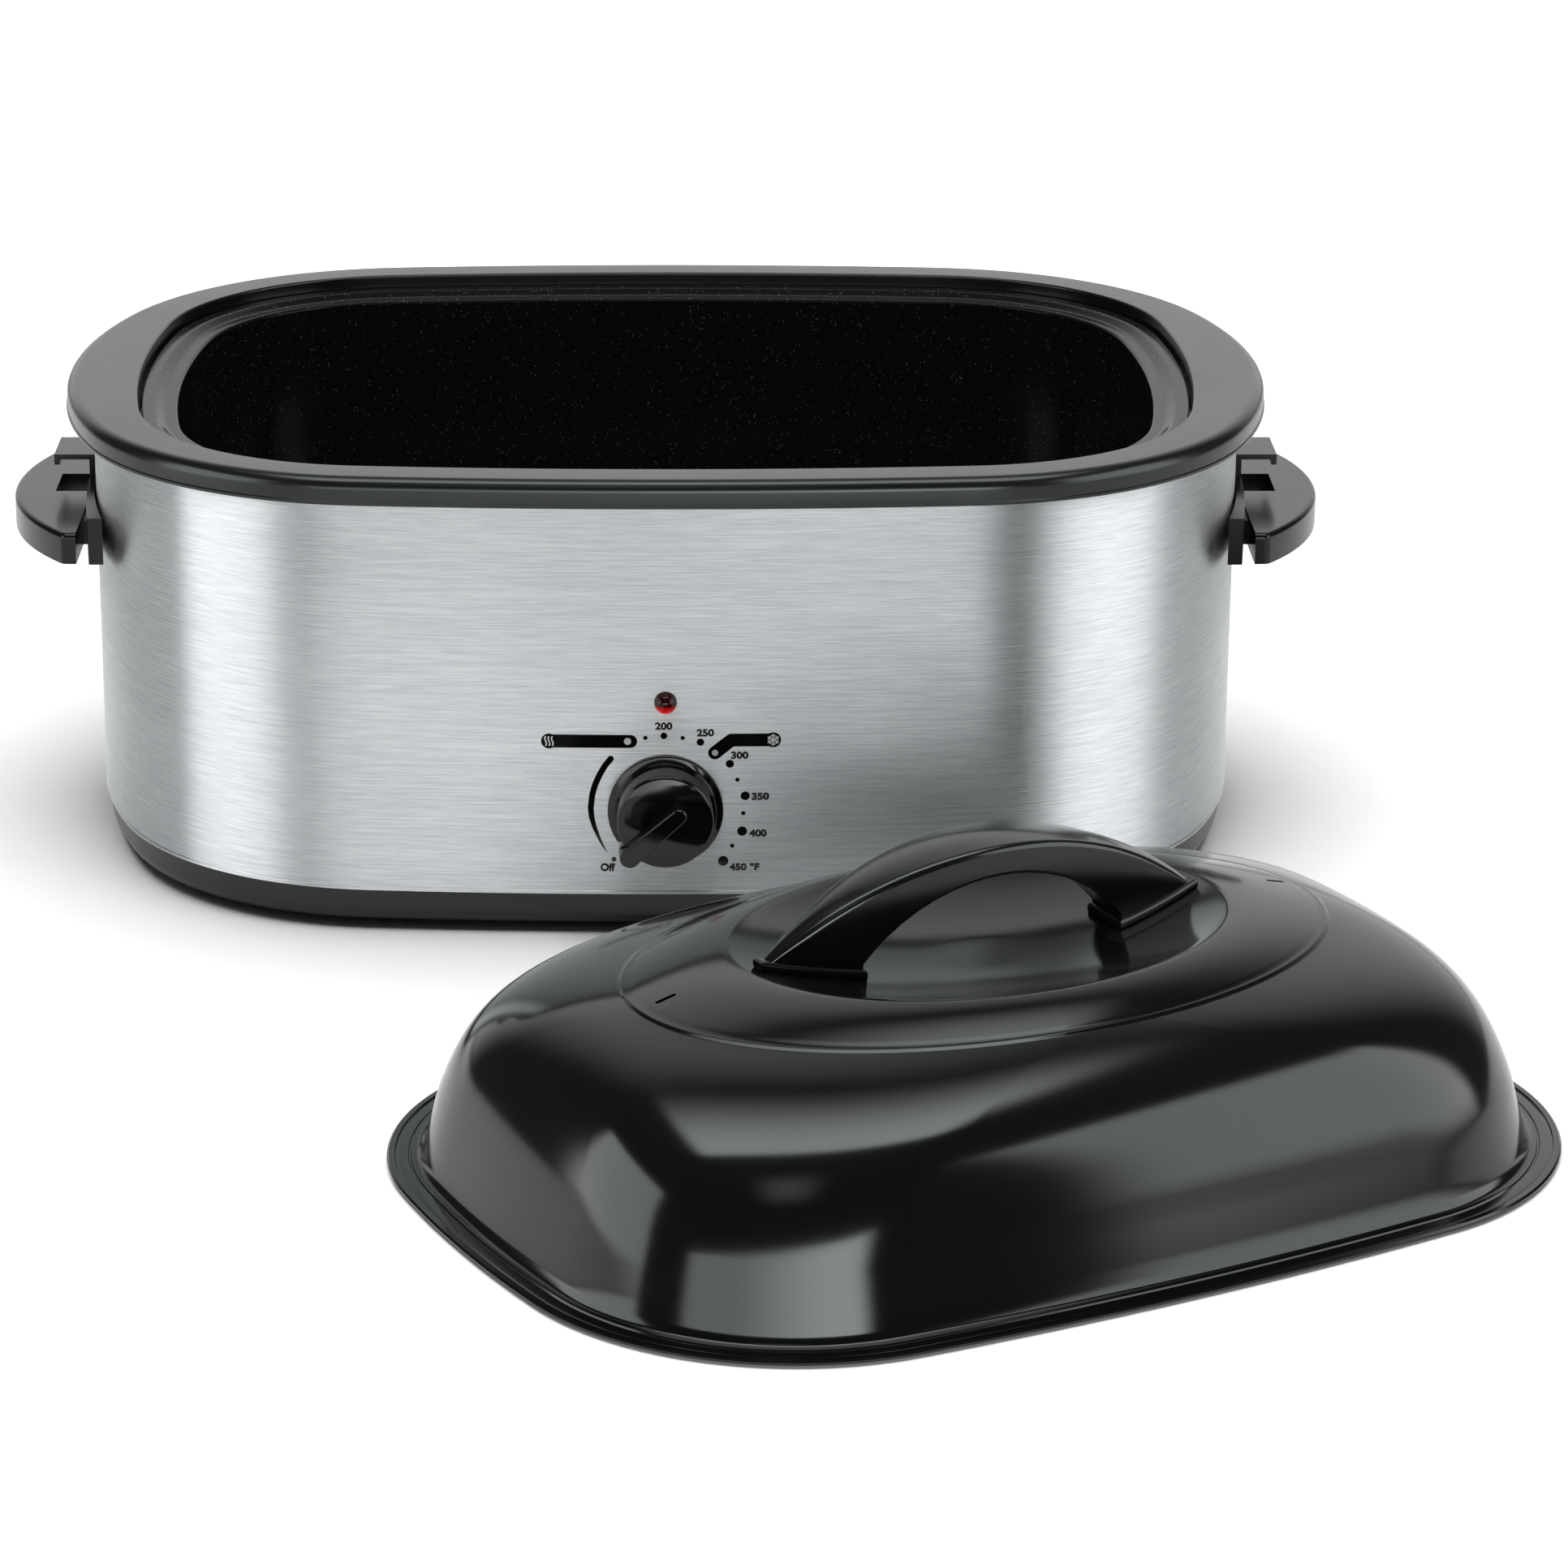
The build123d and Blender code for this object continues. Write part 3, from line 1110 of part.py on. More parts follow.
with BuildPart() as rack_cross_wires:
    wire_z = loop_z + LOOP_WIRE + CROSS_WIRE + FIT
    count = int((LOOP.half_length - 20) / CROSS_PITCH)
    for step in range(-count, count + 1):
        x = step * CROSS_PITCH
        reach = LOOP.reach_at(x)
        rod((x, -reach - 1, wire_z), (0, 1, 0), CROSS_WIRE, 2 * reach + 2)
rack_cross_wires.part.label = "rack_cross_wires"
export_step(rack_cross_wires.part, "parts/rack_cross_wires.step")

with BuildPart() as rack_lift_handles:
    for side in (-1, 1):
        foot_x = side * (LOOP.half_length - LOOP_WIRE - GRIP_WIRE - 3)
        top_x = foot_x + side * GRIP_LEAN
        foot_z = loop_z + LOOP_WIRE + 2 * CROSS_WIRE + GRIP_WIRE + FIT
        tube(
            [
                (foot_x - side * GRIP_TAIL, -GRIP_HALF, foot_z),
                (foot_x, -GRIP_HALF, foot_z),
                (top_x, -GRIP_HALF, foot_z + GRIP_RISE),
                (top_x, GRIP_HALF, foot_z + GRIP_RISE),
                (foot_x, GRIP_HALF, foot_z),
                (foot_x - side * GRIP_TAIL, GRIP_HALF, foot_z),
            ],
            GRIP_WIRE,
            [6, 10, 10, 6],
        )
rack_lift_handles.part.label = "rack_lift_handles"
export_step(rack_lift_handles.part, "parts/rack_lift_handles.step")


# ---- lid -------------------------------------------------------------------------------------

def lid_face(low, high, share, height):
    """A face whose edge is a smooth blend between two outlines, matched by their normals."""
    first = LID.turn_in
    last = LID.turn_out
    quarter = [0, first / 2, first]
    quarter += [first + (last - first) * step / 5 for step in range(1, 6)]
    quarter += [(last + pi / 2) / 2]
    around = []
    for turn in quarter + [pi / 2]:
        x0, y0 = low.point(turn)
        x1, y1 = high.point(turn)
        around.append((x0 + (x1 - x0) * share, y0 + (y1 - y0) * share))
    back = [(x, -y) for x, y in reversed(around[:-1])]
    right = around + back
    left = [(-x, y) for x, y in reversed(right[1:-1])]
    with BuildSketch(Plane.XY.offset(height)) as flat:
        with BuildLine():
            Spline(*(right + left), periodic=True)
        make_face()
    return flat.sketch


def dome(sheet):
    """The lid's dome from its foot to the edge of the finger well, drawn in by a sheet thickness."""
    wall_lean = radians(LID_WALL_LEAN)
    foot = LID_FLANGE_TOP - LID_SHEET
    sections = []
    for share in (0.0, 0.5):
        inset = LID_FOOT_IN + (LID_WALL_IN - LID_FOOT_IN) * share + sheet * cos(wall_lean)
        level = foot + (LID_WALL_TOP - foot) * share - sheet * sin(wall_lean)
        wall = LID.inset(inset)
        sections.append(lid_face(wall, wall, 0, level))
    for turn in (0.0, RIDGE_SLOPE / 3, RIDGE_SLOPE * 2 / 3, RIDGE_SLOPE):
        across = (1 - cos(radians(turn))) / (1 - cos(radians(RIDGE_SLOPE)))
        up = sin(radians(turn)) / sin(radians(RIDGE_SLOPE))
        lean = max(radians(turn), wall_lean)
        wall = LID.inset(LID_WALL_IN + sheet * cos(lean))
        ridge = Oval(RIDGE.half_length - sheet * cos(lean), RIDGE.half_depth - sheet * cos(lean))
        level = LID_WALL_TOP + (RIDGE_Z - LID_WALL_TOP) * up - sheet * sin(lean)
        sections.append(lid_face(wall, ridge, across, level))
    for share, rise in ((0.5, 0.62), (1.0, 1.0)):
        sections.append(lid_face(RIDGE, WELL, share, RIDGE_Z + (WELL_Z - RIDGE_Z) * rise - sheet))
    return sections


with BuildPart() as bowl_top:
    # the finger well's upper surface, as the solid that it leaves free
    with Locations((0, 0, BOWL_CENTRE)):
        Sphere(BOWL_RADIUS)
    block((-140, -200, 60), (140, 200, 150), Mode.INTERSECT)
    scale(by=(1, BOWL_SQUEEZE, 1))

with BuildPart() as bowl_under:
    with Locations((0, 0, BOWL_CENTRE)):
        Sphere(BOWL_RADIUS + LID_SHEET)
    block((-140, -200, 60), (140, 200, 150), Mode.INTERSECT)
    scale(by=(1, BOWL_SQUEEZE, 1))

with BuildPart() as lid_inside:
    loft(dome(LID_SHEET))
    add(bowl_under.part, mode=Mode.SUBTRACT)

slope = LID_SCREW_X / BOWL_RADIUS
screw_up = (-slope, 0, sqrt(1 - slope**2))
screw_z = BOWL_CENTRE - sqrt(BOWL_RADIUS**2 - LID_SCREW_X**2)


def along(distance, side):
    """A point on a lid screw's line, this far above the finger well's upper surface."""
    x = LID_SCREW_X + distance * screw_up[0]
    return (side * x, 0, screw_z + distance * screw_up[2])


with BuildPart() as lid_shell:
    prism(LID, 0, LID_FLANGE_TOP)
    fillet(lid_shell.edges().group_by(Axis.Z)[-1], 0.8)
    prism(LID.inset(LID_SHEET), 0, LID_FLANGE_TOP - LID_SHEET, Mode.SUBTRACT)
    loft(dome(0.0))
    add(lid_inside.part, mode=Mode.SUBTRACT)
    add(bowl_top.part, mode=Mode.SUBTRACT)
    with Locations((-VENT_X, 0, WELL_Z), (VENT_X, 0, WELL_Z)):
        Box(*VENT_SLOT, 30, mode=Mode.SUBTRACT)
    for side in (-1, 1):
        direction = (side * screw_up[0], 0, screw_up[2])
        rod(along(-3, side), direction, LID_SCREW_RADIUS + NEAR, 6, Mode.SUBTRACT)
lid_shell.part.locate(LID_PLACE)
lid_shell.part.label = "lid_shell"
export_step(lid_shell.part, "parts/lid_shell.step")

with BuildPart() as lid_handle:
    bar_sagitta = BAR_HALF_WIDTH - BAR_TIP
    bar_bow = (BAR_HALF_LENGTH**2 + bar_sagitta**2) / (2 * bar_sagitta)
    with BuildSketch(Plane.XY.offset(WELL_Z - 2 * BOWL_DEPTH)):
        with Locations((0, bar_bow - BAR_HALF_WIDTH)):
            Circle(bar_bow)
        with Locations((0, BAR_HALF_WIDTH - bar_bow)):
            Circle(bar_bow, mode=Mode.INTERSECT)
        Rectangle(2 * BAR_HALF_LENGTH, 2 * BAR_HALF_WIDTH, mode=Mode.INTERSECT)
    extrude(amount=BAR_TOP)
    with BuildSketch(Plane.XZ) as bar_side:
        low = WELL_Z - 2 * BOWL_DEPTH
        with BuildLine():
            ThreePointArc((-BAR_HALF_LENGTH, BAR_TIP_Z), (0, BAR_TOP), (BAR_HALF_LENGTH, BAR_TIP_Z))
            Polyline(
                (BAR_HALF_LENGTH, BAR_TIP_Z),
                (BAR_HALF_LENGTH, low),
                (BAR_FOOT, low),
                (BAR_FOOT, BAR_FOOT_Z),
            )
            ThreePointArc((BAR_FOOT, BAR_FOOT_Z), (0, BAR_UNDER), (-BAR_FOOT, BAR_FOOT_Z))
            Polyline(
                (-BAR_FOOT, BAR_FOOT_Z),
                (-BAR_FOOT, low),
                (-BAR_HALF_LENGTH, low),
                (-BAR_HALF_LENGTH, BAR_TIP_Z),
            )
        make_face()
    extrude(bar_side.sketch, amount=2 * BAR_HALF_WIDTH, both=True, mode=Mode.INTERSECT)
    top_face = lid_handle.faces().sort_by(Axis.Z)[-1]
    fillet(top_face.edges(), BAR_EDGE)
    with BuildSketch(Plane.XY.offset(WELL_Z - BOWL_DEPTH)) as over_bowl:
        Ellipse(BOWL_EDGE.half_length - SEAT, BOWL_EDGE.half_depth - SEAT)
    add(bowl_top.part.moved(Location((0, 0, NEAR))), mode=Mode.INTERSECT)
    for side in (-1, 1):
        direction = (side * screw_up[0], 0, screw_up[2])
        rod(along(-3, side), direction, LID_SCREW_RADIUS + FIT, LID_SCREW_BITE + 4, Mode.SUBTRACT)
lid_handle.part.locate(LID_PLACE)
lid_handle.part.label = "lid_handle"
export_step(lid_handle.part, "parts/lid_handle.step")

washer_top = -LID_SHEET - 0.3
with BuildPart() as lid_handle_washers:
    for side in (-1, 1):
        direction = (side * screw_up[0], 0, screw_up[2])
        under = along(washer_top - LID_WASHER, side)
        rod(under, direction, LID_WASHER_RADIUS, LID_WASHER)
        rod(under, direction, LID_SCREW_RADIUS + NEAR, LID_WASHER, Mode.SUBTRACT)
lid_handle_washers.part.locate(LID_PLACE)
lid_handle_washers.part.label = "lid_handle_washers"
export_step(lid_handle_washers.part, "parts/lid_handle_washers.step")

with BuildPart() as lid_handle_screws:
    for side in (-1, 1):
        up = (side * screw_up[0], 0, screw_up[2])
        down = (-up[0], 0, -up[2])
        seat_point = along(washer_top - LID_WASHER, side)
        rod(seat_point, down, LID_SCREW_HEAD, LID_SCREW_HEAD_HEIGHT)
        rod(seat_point, up, LID_SCREW_RADIUS, LID_SCREW_BITE + LID_WASHER - washer_top)
lid_handle_screws.part.locate(LID_PLACE)
lid_handle_screws.part.label = "lid_handle_screws"
export_step(lid_handle_screws.part, "parts/lid_handle_screws.step")

print("lid screw slope", round(slope, 3), "pan floor", PAN_FLOOR, "ring opening", OPENING.half_length)
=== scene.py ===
# %% [markdown]
# # An electric roaster oven, dressed for its portrait
# A roaster oven is a steel band clamped between a black moulded base and a wide black top ring.
# An enamelled pan hangs in the ring, a wire rack stands in the pan, and a loose domed lid lies on
# the counter in front. The solids of all these come from the construction model and stay where
# they are. This script gives every surface its finish, and makes anew the outer pieces whose
# curves and edges catch the light: the steel band, the ring, the pan, the lid, the dial knob.

# %% Load the construction model as a fixed frame
import json
from math import acos, atan2, cos, hypot, pi, radians, sin, sqrt

import bmesh
import bpy
from mathutils import Matrix, Vector


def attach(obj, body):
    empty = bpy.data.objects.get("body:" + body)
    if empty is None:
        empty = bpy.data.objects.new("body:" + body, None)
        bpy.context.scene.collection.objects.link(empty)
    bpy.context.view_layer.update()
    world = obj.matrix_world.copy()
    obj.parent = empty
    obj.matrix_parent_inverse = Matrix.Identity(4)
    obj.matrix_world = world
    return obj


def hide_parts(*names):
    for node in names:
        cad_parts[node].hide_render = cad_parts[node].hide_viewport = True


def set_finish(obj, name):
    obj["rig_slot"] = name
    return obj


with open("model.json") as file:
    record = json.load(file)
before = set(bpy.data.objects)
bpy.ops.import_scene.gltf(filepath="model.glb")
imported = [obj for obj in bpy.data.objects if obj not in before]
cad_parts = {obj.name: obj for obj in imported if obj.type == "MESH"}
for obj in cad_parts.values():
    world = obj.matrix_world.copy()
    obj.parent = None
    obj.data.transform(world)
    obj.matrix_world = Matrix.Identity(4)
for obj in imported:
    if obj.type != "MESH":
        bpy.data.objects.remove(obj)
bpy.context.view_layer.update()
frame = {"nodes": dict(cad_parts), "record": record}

# %% [markdown]
# ## Measures shared by the pieces
# Blender works in metres, while a maker of housewares thinks in millimetres. So lengths below are
# millimetres, and one factor turns them into metres at the moment a point is placed.

# %% Millimetres
MM = 0.001


def deselect():
    """Leave nothing selected, so that the next operator acts on its own piece alone."""
    if bpy.context.object and bpy.context.object.mode != "OBJECT":
        bpy.ops.object.mode_set(mode="OBJECT")
    bpy.ops.object.select_all(action="DESELECT")


def choose(piece):
    """Select one piece and make it the active one."""
    deselect()
    piece.select_set(True)
    bpy.context.view_layer.objects.active = piece


deselect()

# %% [markdown]
# ## The plan outline
# Seen from above, the oven isn't an ellipse. Its front and back are long shallow bows, its ends are
# tighter bows, and four corner arcs join them so that each arc runs into the next without a kink.
# All the rings, walls and rims are this one outline moved inwards or outwards, so a small class
# holds the arcs. A walk round the outline is a list of stops: which arc, how far along it, and on
# which side. Moving a stop along the arc's own normal keeps every loop evenly matched to the next.

# %% Outlines and the walk round them
class Outline:
    """A closed plan outline of eight tangent arcs: two bows, four corners and two ends."""

    def __init__(self, half_length, half_depth, bow, corner, end):
        self.half_length = half_length
        self.half_depth = half_depth
        self.radii = (bow, corner, end)
        bow_y = half_depth - bow
        end_x = half_length - end
        run = bow - corner
        reach = (end - corner) ** 2 - run**2 - end_x**2 - bow_y**2
        spread = acos(reach / (2 * run * hypot(end_x, bow_y)))
        turn_in = atan2(-end_x, bow_y) - spread
        corner_x = run * sin(turn_in)
        corner_y = bow_y + run * cos(turn_in)
        turn_out = atan2(corner_x - end_x, corner_y)
        self.centres = ((0, bow_y), (corner_x, corner_y), (end_x, 0))
        self.turns = ((0, turn_in), (turn_in, turn_out), (turn_out, pi / 2))

    def turn(self, arc, share):
        """How far the outward normal has turned from +Y at this stop."""
        first, last = self.turns[arc]
        return first + (last - first) * share

    def stop(self, arc, share, inset):
        """The first quarter's point at this stop, moved inwards by the inset."""
        turn = self.turn(arc, share)
        centre = self.centres[arc]
        radius = self.radii[arc] - inset
        return centre[0] + radius * sin(turn), centre[1] + radius * cos(turn)

    def front(self, x, inset):
        """How far the front bow stands out at this length."""
        return self.centres[0][1] + sqrt((self.radii[0] - inset) ** 2 - x**2)


class Oval:
    """An ellipse that is walked by the direction of its normal."""

    def __init__(self, half_length, half_depth):
        self.half_length = half_length
        self.half_depth = half_depth

    def spot(self, turn):
        """The first quarter's point whose outward normal has turned this far from +Y."""
        scale = hypot(self.half_length * sin(turn), self.half_depth * cos(turn))
        return self.half_length**2 * sin(turn) / scale, self.half_depth**2 * cos(turn) / scale


STOPS = (20, 26, 18)  # along a quarter's bow, corner and end


def full_walk():
    """The stops of the whole outline, as (side of x, side of y, arc, share)."""
    onward = [(arc, step / STOPS[arc]) for arc in range(3) for step in range(STOPS[arc])]
    back = [(2, 1.0)] + onward[:0:-1]
    walk = []
    for side_x, side_y, stops in ((1, 1, onward), (1, -1, back), (-1, -1, onward), (-1, 1, back)):
        walk += [(side_x, side_y, arc, share) for arc, share in stops]
    return walk


WALK = full_walk()


def all_round(spot):
    """A loop of points, from a function that places one stop of the first quarter."""
    points = []
    for side_x, side_y, arc, share in WALK:
        x, y, height = spot(arc, share)
        points.append((side_x * x, side_y * y, height))
    return points


def loop(outline, inset, height):
    """One level loop of points round an outline."""
    return all_round(lambda arc, share: (*outline.stop(arc, share, inset), height))


print("stops round each outline:", len(WALK))

# %% [markdown]
# ## Growing a piece loop by loop
# Sheet and moulded parts with one outline are drawn up as a potter draws clay: start with a ring
# of vertices, extrude it, move the new ring to its place, and go on. The helper below does that
# with the circle primitive and the extrude operator. It remembers the number of each ring, so that
# rings can be found again to round them with the bevel operator or to close them with a face.
# Weighted normals then keep the flat faces flat next to their rounded edges.

# %% The growing helper and its finishing steps
def pick(piece, level):
    """In edit mode, select the edges that lie wholly in one ring."""
    bpy.ops.mesh.select_all(action="DESELECT")
    mesh = bmesh.from_edit_mesh(piece.data)
    ring = mesh.verts.layers.int["ring"]
    for edge in mesh.edges:
        if all(vertex[ring] == level for vertex in edge.verts):
            edge.select_set(True)
    bmesh.update_edit_mesh(piece.data)


def weld(gap):
    """In edit mode, select the whole piece and merge vertices that are no farther apart."""
    bpy.ops.mesh.select_all(action="SELECT")
    bpy.ops.mesh.remove_doubles(threshold=gap * MM)


def leave_outwards():
    """Turn all faces outwards and leave edit mode."""
    bpy.ops.mesh.select_all(action="SELECT")
    bpy.ops.mesh.normals_make_consistent(inside=False)
    bpy.ops.object.mode_set(mode="OBJECT")


def grow(name, loops, close=False, caps=(), bevels=(), smooth=None):
    """Draw a piece up through its loops of points, cap some rings and round others."""
    deselect()
    bpy.ops.mesh.primitive_circle_add(vertices=len(loops[0]), radius=1)
    piece = bpy.context.object
    piece.name = name
    bpy.ops.object.mode_set(mode="EDIT")
    bpy.ops.mesh.select_mode(type="EDGE")
    bpy.ops.mesh.select_all(action="SELECT")
    mesh = bmesh.from_edit_mesh(piece.data)
    place = mesh.verts.layers.int.new("place")
    mesh.verts.layers.int.new("ring")
    for number, vertex in enumerate(mesh.verts):
        vertex[place] = number
    bmesh.update_edit_mesh(piece.data)
    for level, points in enumerate(loops + loops[:close]):
        if level:
            bpy.ops.mesh.extrude_region_move()
        mesh = bmesh.from_edit_mesh(piece.data)
        place, ring = (mesh.verts.layers.int[layer] for layer in ("place", "ring"))
        for vertex in mesh.verts:
            if vertex.select:
                vertex.co = Vector(points[vertex[place]]) * MM
                vertex[ring] = level
        bmesh.update_edit_mesh(piece.data)
    for level in caps:
        pick(piece, level)
        bpy.ops.mesh.edge_face_add()
    if close:
        weld(0.001)
    for level, width, segments in bevels:
        pick(piece, level)
        bpy.ops.mesh.bevel(offset=width * MM, segments=segments, affect="EDGES")
    leave_outwards()
    if smooth:
        polish(piece, smooth)
    return piece


def apply(piece, kind, **settings):
    """Add one modifier, set it and apply it."""
    choose(piece)
    modifier = piece.modifiers.new(kind, kind)
    for key, value in settings.items():
        setattr(modifier, key, value)
    bpy.ops.object.modifier_apply(modifier=modifier.name)


def polish(piece, angle):
    """Smooth the shading across shallow edges and keep flat faces flat."""
    choose(piece)
    bpy.ops.object.shade_smooth_by_angle(angle=radians(angle))
    apply(piece, "WEIGHTED_NORMAL", keep_sharp=True)


def carve(piece, cutters):
    """Cut other closed pieces out of this one, and delete them."""
    for cutter in cutters:
        apply(piece, "BOOLEAN", operation="DIFFERENCE", solver="EXACT", object=cutter)
        bpy.data.objects.remove(cutter)


def drill(start, end, radius, vertices=48):
    """A round cutter between two points."""
    deselect()
    start, end = Vector(start) * MM, Vector(end) * MM
    length = (end - start).length
    bpy.ops.mesh.primitive_cylinder_add(vertices=vertices, radius=radius * MM, depth=length)
    cutter = bpy.context.object
    turn = (end - start).to_track_quat("Z", "Y").to_matrix().to_4x4()
    cutter.data.transform(Matrix.Translation((start + end) / 2) @ turn)
    return cutter


def settle(piece, body, slot, *nodes):
    """Let a piece ride on its body, name its finish and hide the solids that it stands for."""
    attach(piece, body)
    if slot:
        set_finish(piece, slot)
    for node in nodes:
        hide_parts(node)
    size = [round(length / MM, 1) for length in piece.dimensions]
    print(piece.name, "faces", len(piece.data.polygons), "size mm", size)


# %% [markdown]
# ## The steel band
# On the real oven this is 0.8 mm stainless, brushed along its length and bent round the outline, two
# strips that butt behind the side handles. Its bottom edge turns in under the body, and a rolled hem
# there shows as a thin bright line. It could be a cylinder scaled to fit, but only loops that follow
# the true outline keep the long reflections even. One closed band stands for both strips here.

# %% Grow the steel band and drill it for the dial, the light and the cord
RING = Outline(280.5, 205.0, 1670.0, 147.7, 293.0)
WRAP_IN = 11.8
PANEL = -(RING.half_depth - WRAP_IN)
BAND_SHEET = 0.8
BAND_FOOT = 20.0
BAND_HEAD = 211.4
HEM = 0.35
TURNED_IN = WRAP_IN + 6.2
DIAL_Z = 60.7
PILOT_Z = 110.6
CORD_Z = 42.0

band_section = [
    (TURNED_IN, BAND_FOOT + BAND_SHEET),
    (TURNED_IN, BAND_FOOT),
    (WRAP_IN + 0.2, BAND_FOOT),
    (WRAP_IN - HEM, BAND_FOOT + 0.2),
    (WRAP_IN - HEM, BAND_FOOT + 1.4),
    (WRAP_IN, BAND_FOOT + 1.8),
    (WRAP_IN, BAND_HEAD),
    (WRAP_IN + BAND_SHEET, BAND_HEAD),
    (WRAP_IN + BAND_SHEET, BAND_FOOT + BAND_SHEET),
]
band = grow("steel_band", [loop(RING, *at) for at in band_section], close=True)
holes = [(PANEL, DIAL_Z, 5.15), (PANEL, PILOT_Z, 4.1), (-PANEL, CORD_Z, 7.7)]
carve(band, [drill((0, y - 4, z), (0, y + 4, z), radius) for y, z, radius in holes])
polish(band, 40)
settle(band, "housing", "brushed_steel", "outer_wrap_front", "outer_wrap_rear")

# %% [markdown]
# ## The top ring
# A single black moulding: a wide flat roof with a generous outer round, a skirt that hangs over the
# steel, a channel that grips the steel's top edge, and a ledge for the liner and the pan. Its
# section is carried round with the inner and the outer outline at once, so the ring comes out
# narrow at the front and broad at the ends, as on the oven.

# %% Grow the top ring round two outlines
OPENING = Outline(246.2, 183.2, 1600.0, 114.7, 552.0)
RING_TOP = 215.0
ROOF = 211.5
SKIRT = 202.7
BEAD = 0.45
RING_WALL = 3.0
RIB_IN = 9.4
RIB = 2.0
LEDGE = 201.0
LEDGE_IN = 8.0

ring_section = [
    (RING, -BEAD, SKIRT + 0.4),
    (RING, -BEAD, SKIRT + 1.4),
    (RING, 0, SKIRT + 1.9),
    (RING, 0, RING_TOP),
    (OPENING, 0, RING_TOP),
    (OPENING, 0, LEDGE),
    (OPENING, LEDGE_IN, LEDGE),
    (OPENING, LEDGE_IN, LEDGE - RING_WALL),
    (OPENING, -RING_WALL, LEDGE - RING_WALL),
    (OPENING, -RING_WALL, ROOF),
    (RING, RIB_IN + RIB, ROOF),
    (RING, RIB_IN + RIB, SKIRT),
    (RING, RIB_IN, SKIRT),
    (RING, RIB_IN, ROOF),
    (RING, RING_WALL, ROOF),
    (RING, RING_WALL, SKIRT),
    (RING, 0, SKIRT),
]
ring_rounds = ((3, 5.3, 6), (4, 1.2, 3), (5, 0.6, 1), (6, 0.5, 1))
top_ring = grow("top_ring_moulding", [loop(*at) for at in ring_section], close=True,
                bevels=ring_rounds, smooth=32)
settle(top_ring, "housing", "ring_black", "top_ring")

# %% [markdown]
# ## The pan
# Deep-drawn steel, 1.2 mm thick, under dark enamel. Its rim stands inside the ring, over the ledge,
# and slopes down to a seat for the lid. The wall drops from there with a slight draft to a floor
# with a wide corner. Both skins are grown in one go, up the inside and back down the outside, so
# the sheet keeps its thickness and is closed all round.

# %% Grow the pan
PAN_SHEET = 1.2
RIM_IN = 1.5
RIM_TOP = 209.0
RIM_EDGE = 202.1
SLOPE_IN = RIM_IN + 6.5
SEAT_IN = RIM_IN + 10.5
SEAT = 206.5
WALL_HEAD_IN = RIM_IN + 17
WALL_FOOT_IN = RIM_IN + 23
FLOOR = 69.0
FLOOR_IN = RIM_IN + 90

pan_section = [
    (FLOOR_IN, FLOOR),
    (WALL_FOOT_IN, FLOOR),
    (WALL_HEAD_IN, SEAT),
    (SEAT_IN, SEAT),
    (SLOPE_IN, RIM_TOP),
    (RIM_IN, RIM_TOP),
    (RIM_IN, RIM_EDGE),
    (RIM_IN + PAN_SHEET, RIM_EDGE),
    (RIM_IN + PAN_SHEET, RIM_TOP - PAN_SHEET),
    (SLOPE_IN - PAN_SHEET / 2, RIM_TOP - PAN_SHEET),
    (SEAT_IN - PAN_SHEET / 2, SEAT - PAN_SHEET),
    (WALL_HEAD_IN - PAN_SHEET, SEAT - PAN_SHEET),
    (WALL_FOOT_IN - PAN_SHEET, FLOOR - PAN_SHEET),
    (FLOOR_IN, FLOOR - PAN_SHEET),
]
pan_rounds = ((1, 24.0, 8), (12, 25.2, 8), (2, 1.6, 3), (3, 1.2, 2), (4, 1.2, 2), (5, 0.9, 3))
pan = grow("pan_enamelled", [loop(OPENING, *at) for at in pan_section], caps=(0, 13),
           bevels=pan_rounds, smooth=32)
settle(pan, "pan", "pan_enamel", "roasting_pan")

# %% [markdown]
# ## The lid
# The lid is pressed from one sheet of steel and enamelled gloss black. From the rim inwards it has a
# flat flange with two pressed lines, a short steep wall, a shoulder that rolls over to the dome, a
# raised oval bead, a crown, and a shallow oval finger well for the handle. It is grown about its
# own middle as a single outer skin, given its thickness by Solidify, slotted for steam, and only
# then laid on the counter, turned by the angle at which it lies there.

# %% Measures of the lid
LID = Outline(232.0, 168.0, 1600.0, 118.0, 600.0)
LID_PLACE = Matrix.Translation((125.8 * MM, -428.9 * MM, 0)) @ Matrix.Rotation(radians(27.7), 4, "Z")
LID_SHEET = 1.0
FLANGE = [
    (0.9, 0.6), (0.1, 1.0), (0.1, 2.0), (0.9, 2.7), (3.2, 2.7), (3.6, 2.1), (4.3, 2.1),
    (4.7, 2.4), (8.6, 2.4), (9.0, 2.0), (9.6, 2.0), (10.0, 2.6), (12.2, 2.6), (13.4, 3.4),
]
WALL_FOOT = (15.0, 6.4)
WALL_HEAD = (21.3, 28.6)
RIDGE = Oval(153.0, 96.5)
RIDGE_Z = 85.5
SHOULDER = ((0.0, WALL_HEAD[1]), (0.14, 57.0), (0.30, 74.6), (1.0, RIDGE_Z))
CROWN_FOOT = RIDGE_Z + 0.6
WELL = Oval(107.6, 76.0)
WELL_Z = 95.0
BOWL_EDGE = Oval(106.6, 75.0)
BOWL_DEPTH = 14.0
BOWL_RADIUS = (BOWL_EDGE.half_length**2 + BOWL_DEPTH**2) / (2 * BOWL_DEPTH)
BOWL_SQUEEZE = BOWL_EDGE.half_depth / BOWL_EDGE.half_length
print("radius of the finger well:", round(BOWL_RADIUS, 1), "mm")


# %% Loops for the dome, the crown and the finger well
def bowl_height(x, y):
    """The height of the finger well's upper surface above the counter."""
    away = x**2 + (y / BOWL_SQUEEZE) ** 2
    return WELL_Z + BOWL_RADIUS - BOWL_DEPTH - sqrt(BOWL_RADIUS**2 - away)


